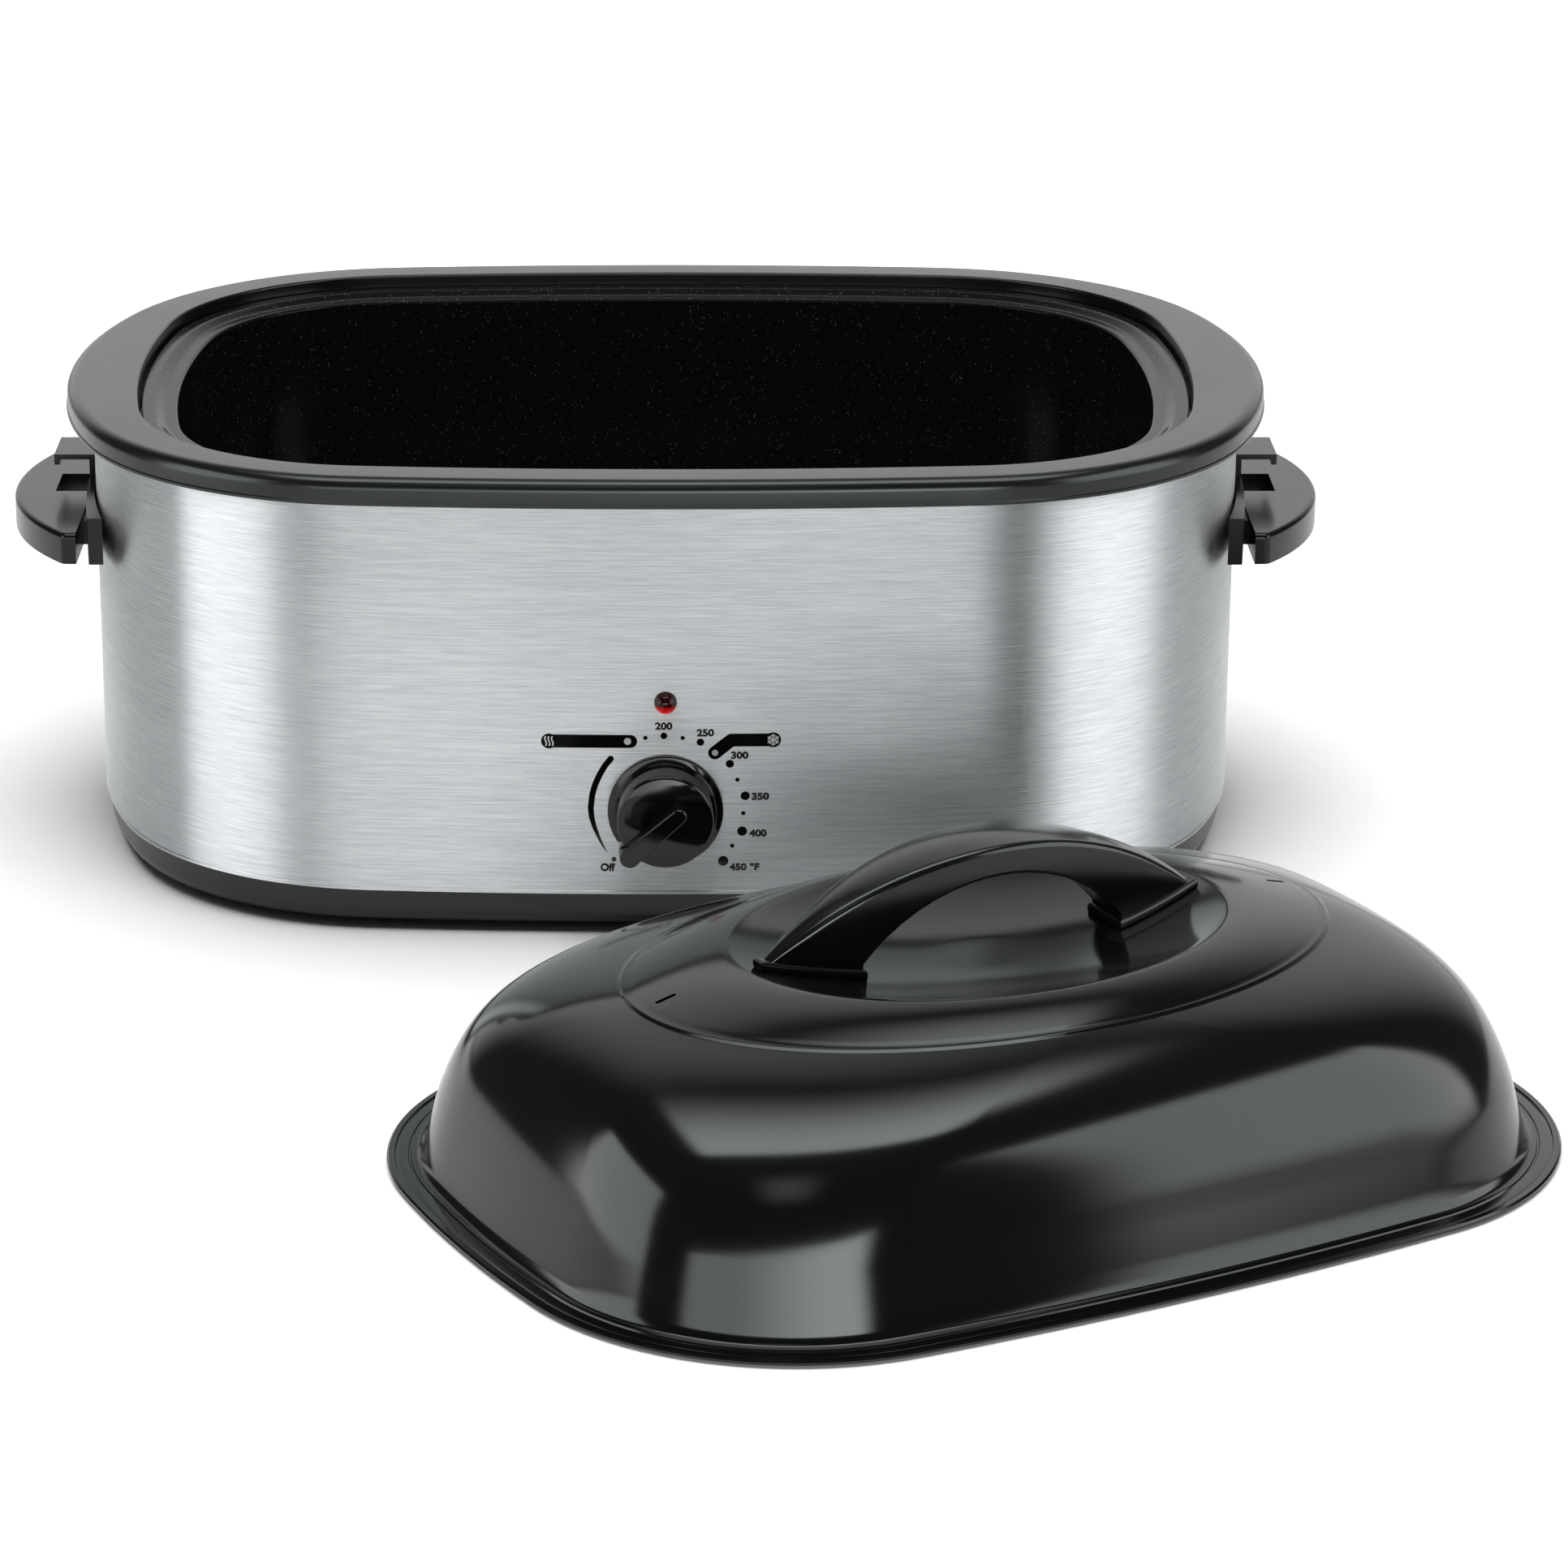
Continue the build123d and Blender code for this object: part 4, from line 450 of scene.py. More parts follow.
def mixed_loop(share, height, low=None, high=RIDGE):
    """A loop part of the way from the head of the wall, or from an oval, to another oval."""

    def spot(arc, part):
        turn = LID.turn(arc, part)
        x0, y0 = low.spot(turn) if low else LID.stop(arc, part, WALL_HEAD[0])
        x1, y1 = high.spot(turn)
        return x0 + (x1 - x0) * share, y0 + (y1 - y0) * share, height

    return all_round(spot)


def wall(part):
    """The loop of the short wall this far up its slope."""
    inset, height = (low + (high - low) * part for low, high in zip(WALL_FOOT, WALL_HEAD))
    return loop(LID, inset, height)


def shoulder(part):
    """The loop of the shoulder this far along the curve that leaves the wall without a kink."""
    back = 1 - part
    weights = (back**3, 3 * back**2 * part, 3 * back * part**2, part**3)
    share, height = (sum(weight * at[i] for weight, at in zip(weights, SHOULDER)) for i in (0, 1))
    return mixed_loop(share, height)


def crown(share):
    """A loop of the dome between the bead and the edge of the finger well."""
    height = CROWN_FOOT + (WELL_Z - CROWN_FOOT) * (0.4 * share + 0.6 * sin(share * pi / 2))
    return mixed_loop(share, height, RIDGE, WELL)


def bowl(share):
    """A loop of the finger well, drawn in to this share of its edge."""

    def spot(arc, part):
        x, y = (length * share for length in BOWL_EDGE.spot(LID.turn(arc, part)))
        return x, y, bowl_height(x, y)

    return all_round(spot)


# %% Grow the lid's outer skin
lid_loops = [loop(LID, *at) for at in FLANGE]
lid_loops += [wall(step / 4) for step in range(5)]
lid_loops += [shoulder(step / 18) for step in range(1, 18)]
for share, rise in ((0.966, -0.5), (0.977, -0.3), (0.988, 0.45), (1.0, 0.75)):
    lid_loops.append(mixed_loop(share, RIDGE_Z + rise))
lid_loops.append(mixed_loop(0.035, RIDGE_Z + 0.8, RIDGE, WELL))
lid_loops += [crown(share) for share in (0.08, 0.15, 0.25, 0.35, 0.45, 0.55, 0.65, 0.75, 0.84, 0.92, 0.97)]
lid_loops.append(mixed_loop(1.0, WELL_Z - 0.15, RIDGE, WELL))
lid_loops += [bowl(share) for share in (1.0, 0.96, 0.88, 0.78, 0.66, 0.53, 0.4, 0.27, 0.14)]
lid = grow("lid_enamelled", lid_loops, caps=(len(lid_loops) - 1,))
apply(lid, "SOLIDIFY", thickness=LID_SHEET * MM, offset=-1, use_even_offset=True)
print("lid loops:", len(lid_loops))

# %% Slot the lid for steam and lay it on the counter
VENT_X = 142.0
VENT_HALF_WIDTH = 1.1
VENT_STRETCH = 3.4
vents = []
for side in (-1, 1):
    vent = drill((side * VENT_X, 0, 70), (side * VENT_X, 0, 110), VENT_HALF_WIDTH, 24)
    for vertex in vent.data.vertices:
        vertex.co.x += (1 if vertex.co.x > side * VENT_X * MM else -1) * VENT_STRETCH * MM
    vents.append(vent)
carve(lid, vents)
lid.data.transform(LID_PLACE)
polish(lid, 38)
settle(lid, "lid", "lid_black", "lid_shell")

# %% [markdown]
# ## The lid's handle
# A moulded bridge that is a lens in plan and an arch from the side. Its feet stand in the finger
# well and its middle leaves room for four fingers. Cross-sections are set one after another along
# its length. Each is a rounded oblong between the arch's top and its underside, or, over the feet,
# between the top and the floor of the well.

# %% Grow the lid's handle along its length
BAR_HALF_LENGTH = 101.0
BAR_HALF_WIDTH = 16.0
BAR_TIP = 2.0
BAR_TOP = 134.0
BAR_TIP_Z = 95.0
BAR_UNDER = 120.5
BAR_CROWN = 1.0
BAR_ROUND = 3.0
FOOT_ROUND = 1.5
FOOT_REACH = 15.0
BAR_FOOT = 60.0
BAR_FOOT_Z = 91.0
BAR_HALF = [BAR_HALF_LENGTH, 99.5, 97, 93, 88, 82, 76, 70, 65, BAR_FOOT + 0.01,
            BAR_FOOT - 0.01, 58, 55, 50, 44, 37, 30, 22, 14, 7]


def arch(x, half_span, low, high):
    """The height of a circular arch of this half span at x."""
    rise = high - low
    radius = (half_span**2 + rise**2) / (2 * rise)
    return high - radius + sqrt(radius**2 - x**2)


def bar_half_width(x):
    """Half the handle's width at x: two arcs that meet near its tips."""
    return arch(x, BAR_HALF_LENGTH, BAR_TIP, BAR_HALF_WIDTH)


def under_at(x):
    """The handle's lower edge at x: the finger gap's arch, or the floor of the well."""
    if abs(x) < BAR_FOOT:
        return arch(x, BAR_FOOT, BAR_FOOT_Z, BAR_UNDER)
    return bowl_height(x, min(bar_half_width(x), FOOT_REACH)) + 0.2


def section(x):
    """A rounded oblong across the handle at x, its top slightly crowned."""
    half = bar_half_width(x)
    under = under_at(x)
    top = arch(x, BAR_HALF_LENGTH, BAR_TIP_Z, BAR_TOP)
    edge = min(BAR_ROUND, half * 0.45, (top - under) * 0.4)
    foot = min(FOOT_ROUND, edge)
    corners = (
        (half - edge, top - BAR_CROWN - edge, 0, edge),
        (edge - half, top - BAR_CROWN - edge, 90, edge),
        (foot - half, under + foot, 180, foot),
        (half - foot, under + foot, 270, foot),
    )
    points = []
    for y, z, start, radius in corners:
        for step in range(7):
            turn = radians(start + step * 15)
            points.append((x, y + radius * cos(turn), z + radius * sin(turn)))
        if start == 0:
            for share in (2 / 3, 1 / 3, 0, -1 / 3, -2 / 3):
                points.append((x, share * (half - edge), top - BAR_CROWN * share**2))
    return points


sections = [section(x) for x in [-x for x in BAR_HALF] + [0] + BAR_HALF[::-1]]
handle_bar = grow("lid_bridge_handle", sections, caps=(0, len(sections) - 1))
handle_bar.data.transform(LID_PLACE)
polish(handle_bar, 40)
settle(handle_bar, "lid", "lid_handle_black", "lid_handle")

# %% Grow the lip round each foot of the handle
LIP = 1.3
LIP_LEVELS = [(0.3, 0.05), (0, 0.9), (0, 2.9), (0.3, 3.8), (0.9, 4.3), (1.6, 4.4)]


def foot_loop(side, inset, rise):
    """A loop round one foot's plan, this far above the floor of the finger well."""
    near = BAR_FOOT - 1.2 + inset
    far = BAR_HALF_LENGTH + 0.6 - inset
    points = []
    for way in (1, -1):
        for step in range(13)[::way]:
            x = near + (far - near) * step / 12
            y = bar_half_width(min(x, BAR_HALF_LENGTH)) + LIP - inset
            points.append((side * x, way * y, bowl_height(x, min(y, FOOT_REACH)) + rise))
    return points


for side, place in ((-1, "left"), (1, "right")):
    lip = grow(place + "_foot_lip", [foot_loop(side, *level) for level in LIP_LEVELS], caps=(0, 5))
    lip.data.transform(LID_PLACE)
    polish(lip, 40)
    settle(lip, "lid", "lid_handle_black")

# %% [markdown]
# ## The dial knob and its pointer
# The knob is turned in profile: a thin rim near the steel, a step in, a tall slightly tapered drum
# and a gently domed face. The spin operator sweeps that profile round the shaft. A pointer bar crosses
# the face. It is wide and low at the end that points to the scale, and narrow and high at the other.

# %% Spin the knob
KNOB_BACK = PANEL - 0.8
KNOB_PROFILE = [
    (17.5, 0.0), (25.3, 0.0), (25.75, 0.5), (25.75, 2.6), (25.55, 3.0), (25.1, 3.2),
    (23.4, 3.6), (22.9, 4.0), (22.6, 4.8), (21.5, 16.4), (21.35, 17.2), (20.9, 17.8), (20.2, 18.15),
    (18.0, 18.66), (14.0, 19.42), (10.0, 20.0), (6.0, 20.37), (3.0, 20.53), (0.01, 20.59),
]


def spun(name, profile, height, back, steps=128):
    """Sweep a profile of (radius, distance in front of the back) round an axis along Y."""
    deselect()
    bpy.ops.mesh.primitive_plane_add(size=0.001)
    piece = bpy.context.object
    piece.name = name
    bpy.ops.object.mode_set(mode="EDIT")
    bpy.ops.mesh.delete(type="VERT")
    mesh = bmesh.from_edit_mesh(piece.data)
    verts = [mesh.verts.new(Vector((radius, back - out, height)) * MM) for radius, out in profile]
    for pair in zip(verts, verts[1:]):
        mesh.edges.new(pair).select_set(True)
    bmesh.update_edit_mesh(piece.data)
    middle = Vector((0, back, height)) * MM
    bpy.ops.mesh.spin(steps=steps, angle=2 * pi, axis=(0, 1, 0), center=middle)
    weld(0.02)
    leave_outwards()
    polish(piece, 30)
    return piece


HOLLOW = [(17.5, 0.0), (17.5, 13.0), (6.0, 13.0), (6.0, 4.4), (3.02, 4.4), (3.02, 13.4), (0.01, 13.4)]
knob = spun("dial_knob", HOLLOW[::-1] + KNOB_PROFILE[1:], DIAL_Z, KNOB_BACK)
settle(knob, "knob", "knob_black", "control_knob")

# %% Grow the pointer bar on the knob's face
POINTER_LEAN = radians(43.5)
POINTER_TIP = 26.8
POINTER_TAIL = 12.7


def pointer_loop(half, depth_tip, depth_tail, tip=POINTER_TIP, tail=POINTER_TAIL, taper=0.0):
    """A slot-shaped loop along the pointer, its depth sloping from the tip to the tail."""
    points = []
    for end, radius, start in ((half - tip, half, 90), (tail - half + taper, half - taper, -90)):
        for step in range(17):
            turn = radians(start + 180 * step / 16)
            along, across = end + radius * cos(turn), radius * sin(turn)
            share = (along + tip) / (tip + tail)
            depth_here = depth_tip + (depth_tail - depth_tip) * share
            x = along * cos(POINTER_LEAN) - across * sin(POINTER_LEAN)
            z = along * sin(POINTER_LEAN) + across * cos(POINTER_LEAN)
            points.append((x, KNOB_BACK - depth_here, DIAL_Z + z))
    return points


pointer = grow(
    "dial_pointer",
    [
        pointer_loop(5.3, 3.6, 3.6),
        pointer_loop(5.3, 16.2, 16.2),
        pointer_loop(5.25, 17.2, 17.2),
        pointer_loop(4.45, 22.9, 26.6, tip=26.3, tail=11.9, taper=0.9),
        pointer_loop(4.2, 23.35, 27.35, tip=26.0, tail=11.6, taper=0.95),
        pointer_loop(3.7, 23.6, 27.7, tip=25.5, tail=11.1, taper=1.0),
    ],
    caps=(0, 5),
    smooth=34,
)
settle(pointer, "knob", "knob_black")

# %% [markdown]
# ## The pilot light
# A red moulded lens with a low dome sits in a hole in the steel. Like the knob it is spun from its
# profile, with a small step at its rim where it presses on the panel.

# %% Spin the lens
LENS_PROFILE = [(0.01, 5.6), (1.4, 5.42), (2.7, 4.85), (3.7, 4.0), (4.45, 2.9), (4.9, 1.7), (5.05, 1.0),
                (5.1, 0.5), (5.1, 0.0), (3.95, 0.0), (3.95, -10.0), (2.7, -10.0), (2.7, 0.2), (0.01, 0.9)]
lens = spun("pilot_dome", LENS_PROFILE, PILOT_Z, PANEL - 0.15, 64)
settle(lens, "housing", "lens_red", "pilot_lens")

# %% [markdown]
# ## The printed scale
# The scale is screen-printed on the steel: dots that grow with the heat, numerals beside them, and
# two black flags with pictures for the gentle settings. Print could be an image on the steel, but
# it stays sharp as flat artwork from text and circles, bent on to the panel's shallow bow and given
# a film's thickness.

# %% Helpers for flat artwork
INK = 0.06


def lettering(words, centre_x, centre_z, height, width):
    """Bold plain lettering of this size with its middle at a place on the panel."""
    deselect()
    bpy.ops.object.text_add()
    text = bpy.context.object
    text.data.body = words
    text.data.offset = 0.052
    text.data.resolution_u = 4
    bpy.ops.object.convert(target="MESH")
    piece = bpy.context.object
    xs = [vertex.co.x for vertex in piece.data.vertices]
    ys = [vertex.co.y for vertex in piece.data.vertices]
    wider, taller = width * MM / (max(xs) - min(xs)), height * MM / (max(ys) - min(ys))
    mid_x, mid_y = (max(xs) + min(xs)) / 2, (max(ys) + min(ys)) / 2
    for vertex in piece.data.vertices:
        across, up = (vertex.co.x - mid_x) * wider, (vertex.co.y - mid_y) * taller
        vertex.co = (centre_x * MM + across, 0, centre_z * MM + up)
    return piece


def flat_shape(points):
    """A flat filled shape from its edge points in x and z."""
    deselect()
    bpy.ops.mesh.primitive_circle_add(vertices=len(points), radius=1, fill_type="NGON")
    piece = bpy.context.object
    for vertex, (x, z) in zip(piece.data.vertices, points):
        vertex.co = (x * MM, 0, z * MM)
    return piece


def dot(x, z, radius, steps=32):
    """A printed dot."""
    turns = [2 * pi * step / steps for step in range(steps)]
    return flat_shape([(x + radius * cos(turn), z + radius * sin(turn)) for turn in turns])


def pill(x0, z0, x1, z1, radius0, radius1, steps=12):
    """The edge points of a bar with round ends."""
    lean = atan2(z1 - z0, x1 - x0)
    points = []
    for x, z, radius, start in ((x1, z1, radius1, lean - pi / 2), (x0, z0, radius0, lean + pi / 2)):
        for step in range(steps + 1):
            turn = start + pi * step / steps
            points.append((x + radius * cos(turn), z + radius * sin(turn)))
    return points


def slab(x0, x1, z, half, columns):
    """A flat bar made as a row of narrow columns, so that it can follow the panel's bow."""
    deselect()
    bpy.ops.mesh.primitive_grid_add(x_subdivisions=columns, y_subdivisions=1, size=1.0)
    piece = bpy.context.object
    for vertex in piece.data.vertices:
        across, up = vertex.co.x + 0.5, vertex.co.y
        vertex.co = ((x0 + (x1 - x0) * across) * MM, 0, (z + 2 * half * up) * MM)
    return piece


def stroke(centres, widths):
    """The edge points of a brush stroke along a line of centres."""
    left, right = [], []
    for number, (x, z) in enumerate(centres):
        before = centres[max(number - 1, 0)]
        after = centres[min(number + 1, len(centres) - 1)]
        run = Vector((after[0] - before[0], after[1] - before[1])).normalized() * widths[number] / 2
        left.append((x - run.y, z + run.x))
        right.append((x + run.y, z - run.x))
    return left + right[::-1]


def printed(name, parts, lift):
    """Join flat artwork, bend it on to the steel's front and give it a film's thickness."""
    deselect()
    for part in parts:
        part.select_set(True)
    bpy.context.view_layer.objects.active = parts[0]
    bpy.ops.object.join()
    piece = bpy.context.object
    piece.name = name
    for vertex in piece.data.vertices:
        vertex.co.y = -(RING.front(vertex.co.x / MM, WRAP_IN) + lift) * MM
    choose(piece)
    bpy.ops.object.mode_set(mode="EDIT")
    bpy.ops.mesh.select_all(action="SELECT")
    bpy.ops.mesh.quads_convert_to_tris()
    bpy.ops.mesh.extrude_region_move(TRANSFORM_OT_translate={"value": (0, -INK * MM, 0)})
    leave_outwards()
    return piece


# %% Print the scale
SMALL_DOTS = [(-8.9, 94.0), (7.65, 94.0), (32.0, 74.3), (34.7, 58.5), (29.8, 43.1)]
HEAT_DOTS = [(-0.7, 95.0, 1.5), (15.5, 92.0, 1.7), (28.6, 81.8, 1.85), (35.5, 66.7, 2.05),
             (34.2, 50.0, 2.2), (25.8, 35.9, 2.35), (-23.0, 36.7, 1.15)]
FIGURES = [("200", -0.8, 99.5, 3.6, 7.8), ("250", 17.7, 96.4, 3.6, 7.8), ("300", 33.0, 85.8, 3.6, 7.8),
           ("350", 42.3, 66.4, 3.6, 7.8), ("400", 41.3, 49.0, 3.6, 7.8),
           ("450 °F", 35.3, 33.1, 3.6, 13.6), ("Off", -25.8, 32.9, 3.9, 6.6)]
ARC = [(-24.3, 84.2), (-26.9, 80.9), (-29.1, 77), (-31.2, 72.3), (-32.6, 67.3), (-33.3, 60.9),
       (-32.9, 56.6), (-31.7, 52.0), (-29.5, 46.4), (-27.9, 43.1), (-26.1, 39.9)]
ARC_WIDTHS = [2.8, 2.8, 2.8, 2.8, 2.75, 2.7, 2.45, 2.0, 1.35, 0.9, 0.15]

inked = [dot(x, z, 0.98, 20) for x, z in SMALL_DOTS] + [dot(*heat_dot) for heat_dot in HEAT_DOTS]
inked += [lettering(*figure) for figure in FIGURES]
inked += [flat_shape(stroke(ARC, ARC_WIDTHS)), dot(*ARC[0], 1.4)]
settle(printed("dial_scale_print", inked, 0.03), "housing", "knob_black")

# %% Print the two flags
STEAM_X, STEAM_Z = -51.7, 92.3
STEAM_FLAG_Z = 92.35
STEAM_FLAG_END = -15.6
FLAKE_X, FLAKE_Z = 47.8, 92.9
FLAKE_FLAG_END = (22.0, 87.0)
flags = [
    slab(STEAM_X, STEAM_FLAG_END, STEAM_FLAG_Z, 3.05, 24),
    dot(STEAM_X, STEAM_Z, 3.5),
    dot(STEAM_FLAG_END, STEAM_FLAG_Z, 3.05),
    slab(FLAKE_X, 29.4, FLAKE_Z, 3.0, 12),
    dot(FLAKE_X, FLAKE_Z, 3.5),
    flat_shape(pill(29.2, FLAKE_Z, *FLAKE_FLAG_END, 3.0, 3.1)),
]
settle(printed("mode_flag_print", flags, 0.04), "housing", "knob_black")


# %% Print the pale pictures on the flags
def wisp(shift):
    """One wavy line of steam."""
    x = STEAM_X + shift
    centres = [(x + 0.36 * sin(step * pi / 4), STEAM_Z + (step - 4) * 0.55) for step in range(9)]
    return flat_shape(stroke(centres, [0.66] * 9))


def ray(turn, out, length, lean, half):
    """A fine bar of the snowflake, starting this far out along an arm and leaning off it."""
    x, z = FLAKE_X + out * cos(radians(turn)), FLAKE_Z + out * sin(radians(turn))
    way = radians(turn + lean)
    return flat_shape(pill(x, z, x + length * cos(way), z + length * sin(way), half, half, 4))


pale = [wisp(shift) for shift in (-1.485, 0, 1.485)]
pale += [ray(turn, -2.5, 5.0, 0, 0.34) for turn in (90, 150, 210)]
pale += [ray(turn, 1.375, 1.0, lean, 0.27) for turn in range(90, 450, 60) for lean in (-50, 50)]
pale += [dot(STEAM_FLAG_END - 1.2, STEAM_FLAG_Z, 1.6), dot(*FLAKE_FLAG_END, 1.4)]
pale_print = printed("mode_picture_print", pale, 0.11)
settle(pale_print, "housing", None)

# %% [markdown]
# ## Moulded and turned pieces taken over from the construction model
# Handles, base, feet, wires and fasteners already have their true shape in the construction model.
# Its mesh is made of loose triangles, which shade in facets, so each is copied, welded, given small
# edge rounds where its edges show, and smoothed. The copy then stands for the solid. The two grips
# are hollowed on the inside by a wide round cutter, so that their back plates hug the steel's end.

# %% Copy, weld and smooth the solids that show
HUG_RADIUS = 370.0
HUG_AXIS = 101.0


def dressed(node, body, slot, round_edges=0.0, cutters=()):
    """A welded and smoothed copy of a solid, with its sharp edges slightly rounded."""
    piece = bpy.data.objects.new(node + "_dressed", frame["nodes"][node].data.copy())
    bpy.context.scene.collection.objects.link(piece)
    choose(piece)
    bpy.ops.object.mode_set(mode="EDIT")
    weld(0.005)
    bpy.ops.mesh.dissolve_limited(angle_limit=radians(0.6))
    bpy.ops.object.mode_set(mode="OBJECT")
    carve(piece, cutters)
    if round_edges:
        apply(piece, "BEVEL", width=round_edges * MM, segments=2, limit_method="ANGLE",
              angle_limit=radians(50), use_clamp_overlap=True)
    polish(piece, 35)
    settle(piece, body, slot, node)


dressed("base_tray", "housing", "base_black")
dressed("rubber_feet", "housing", "foot_rubber", 0.5)
for side, node in ((-1, "left_handle"), (1, "right_handle")):
    hug = drill((-side * HUG_AXIS, 0, 60), (-side * HUG_AXIS, 0, 240), HUG_RADIUS, 720)
    dressed(node, "housing", "handle_black", 0.7, cutters=(hug,))
dressed("handle_screws", "housing", "zinc", 0.2)
dressed("cord_gland", "housing", "gland_black", 0.5)
dressed("liner_well", "housing", "well_aluminised")
dressed("liner_screws", "housing", "zinc")
for node in ("rack_frame", "rack_cross_wires", "rack_lift_handles"):
    dressed(node, "rack", "rack_chrome")
dressed("lid_handle_screws", "lid", "zinc", 0.3)
dressed("lid_handle_washers", "lid", "zinc", 0.2)

# %% [markdown]
# ## Writing a material as a sum
# Shader trees are easier to read as arithmetic. The class below wraps one socket of a node, and
# adding, multiplying or comparing wrapped sockets places the Math nodes. Anything else goes through
# one method that takes the node's type, its settings, and the values or links of its sockets.

# %% The socket class
class Wire:
    """One output socket of a material's tree, with arithmetic."""

    def __init__(self, tree, socket=None):
        self.tree = tree
        self.socket = socket

    def node(self, kind, settings=None, values=None, output=0):
        """Add a node, set it, give its sockets values or links, and return one output."""
        made = self.tree.nodes.new(kind)
        for key, value in (settings or {}).items():
            setattr(made, key, value)
        for key, value in (values or {}).items():
            if isinstance(value, Wire):
                self.tree.links.new(value.socket, made.inputs[key])
            else:
                made.inputs[key].default_value = value
        return Wire(self.tree, made.outputs[output])

    def sum(self, operation, first, second=0.0):
        """The result of one Math node."""
        return self.node("ShaderNodeMath", {"operation": operation}, {0: first, 1: second})

    def __add__(self, other):
        return self.sum("ADD", self, other)

    __radd__ = __add__

    def __mul__(self, other):
        return self.sum("MULTIPLY", self, other)

    __rmul__ = __mul__

    def __sub__(self, other):
        return self.sum("SUBTRACT", self, other)

    def __rsub__(self, other):
        return self.sum("SUBTRACT", other, self)

    def __gt__(self, other):
        return self.sum("GREATER_THAN", self, other)

    def __lt__(self, other):
        return self.sum("LESS_THAN", self, other)

    def part(self, axis):
        """One of the three numbers of a place or direction."""
        return self.node("ShaderNodeSeparateXYZ", {}, {0: self}, axis)

    def place(self):
        """The object's own coordinates, in metres."""
        return self.node("ShaderNodeTexCoord", output="Object")

    def smooth(self, low, high, to_low=0.0, to_high=1.0):
        """Rise smoothly from one level to another between two inputs."""
        return self.node(
            "ShaderNodeMapRange",
            {"interpolation_type": "SMOOTHSTEP"},
            {"Value": self, "From Min": low, "From Max": high, "To Min": to_low, "To Max": to_high},
        )

    def blend(self, low, high):
        """Mix two colours, this value being the share of the second."""
        return self.node("ShaderNodeMix", {"data_type": "RGBA"}, {0: self, 6: low, 7: high}, 2)


def colour(red, green=None, blue=None):
    """A colour with full alpha, or a grey from one number."""
    if green is None:
        green = blue = red
    return (red, green, blue, 1.0)


def finish(name, base, rough, **constants):
    """Start a material, and return it with its wire and its shader node."""
    made = bpy.data.materials.new(name)
    made.use_nodes = True
    shader = made.node_tree.nodes["Principled BSDF"]
    for key, value in {"Base_Color": base, "Roughness": rough, **constants}.items():
        shader.inputs[key.replace("_", " ")].default_value = value
    return made, Wire(made.node_tree), shader


def feed(shader, **inputs):
    """Link wires to the shader's sockets that may vary over a surface."""
    for key, wire in inputs.items():
        wire.tree.links.new(wire.socket, shader.inputs[key.replace("_", " ")])


def noise(wire, scale, detail, roughness=0.5, tile=(1, 1, 1)):
    """Noise in the object's own coordinates, with this many waves a metre, finer along some axes."""
    mapped = wire.node("ShaderNodeMapping", {}, {"Vector": wire.place(), "Scale": tile})
    values = {"Vector": mapped, "Scale": scale, "Detail": detail, "Roughness": roughness}
    return wire.node("ShaderNodeTexNoise", {}, values)


def bump(wire, height, strength, distance):
    """Turn a height into a normal."""
    return wire.node("ShaderNodeBump", {}, {"Height": height, "Strength": strength, "Distance": distance})


# %% [markdown]
# ## Brushed stainless steel
# Brushing draws thousands of fine scratches along the strip. They spread a reflection across their
# own direction and leave it sharp along it, which is what turns a lamp into a tall soft column on
# the body. The shader's anisotropy does the spreading. Fine streaks in colour, roughness and height
# give the scratches themselves. The streaks are noise that is long in x and y and very short in z.

# %% Make the brushed steel
steel, wire, shader = finish("brushed steel", colour(0.62), 0.5, Metallic=1.0, Anisotropic=1.0,
                             Anisotropic_Rotation=0.25)
hair = noise(wire, 55, 2, 0.6, (1, 1, 42))
long = noise(wire, 18, 2, 0.6, (1, 1, 90))
broad = noise(wire, 5, 2, 0.5, (1, 1, 6))
streak = hair * 0.7 + long * 0.3
feed(shader,
     Base_Color=streak.smooth(0.34, 0.66).blend(colour(0.57, 0.595, 0.61), colour(0.735, 0.765, 0.775)),
     Roughness=streak * 0.06 + broad * 0.05 + 0.36,
     Normal=bump(wire, streak, 0.5, 0.0006))

# %% [markdown]
# ## Black mouldings
# Handles, base and ring are phenolic or nylon mouldings with a satin skin. A very fine grain
# breaks the sheen, and a slow unevenness in roughness keeps large faces from looking dead. The
# knob, the lid's handle and the lid are glossier, so their grain is shallower.

# %% Make the moulded and enamelled blacks
def moulding(name, base, rough, grain=0.05, spread=0.05, grain_scale=1800, **constants):
    """A moulded black with a fine grain and an uneven sheen."""
    made, wire, shader = finish(name, base, rough, **constants)
    tiny = noise(wire, grain_scale, 2, 0.5)
    slow = noise(wire, 22, 3, 0.55)
    feed(shader, Roughness=slow * (2 * spread) + (rough - spread), Normal=bump(wire, tiny, grain, 0.0002))
    return made


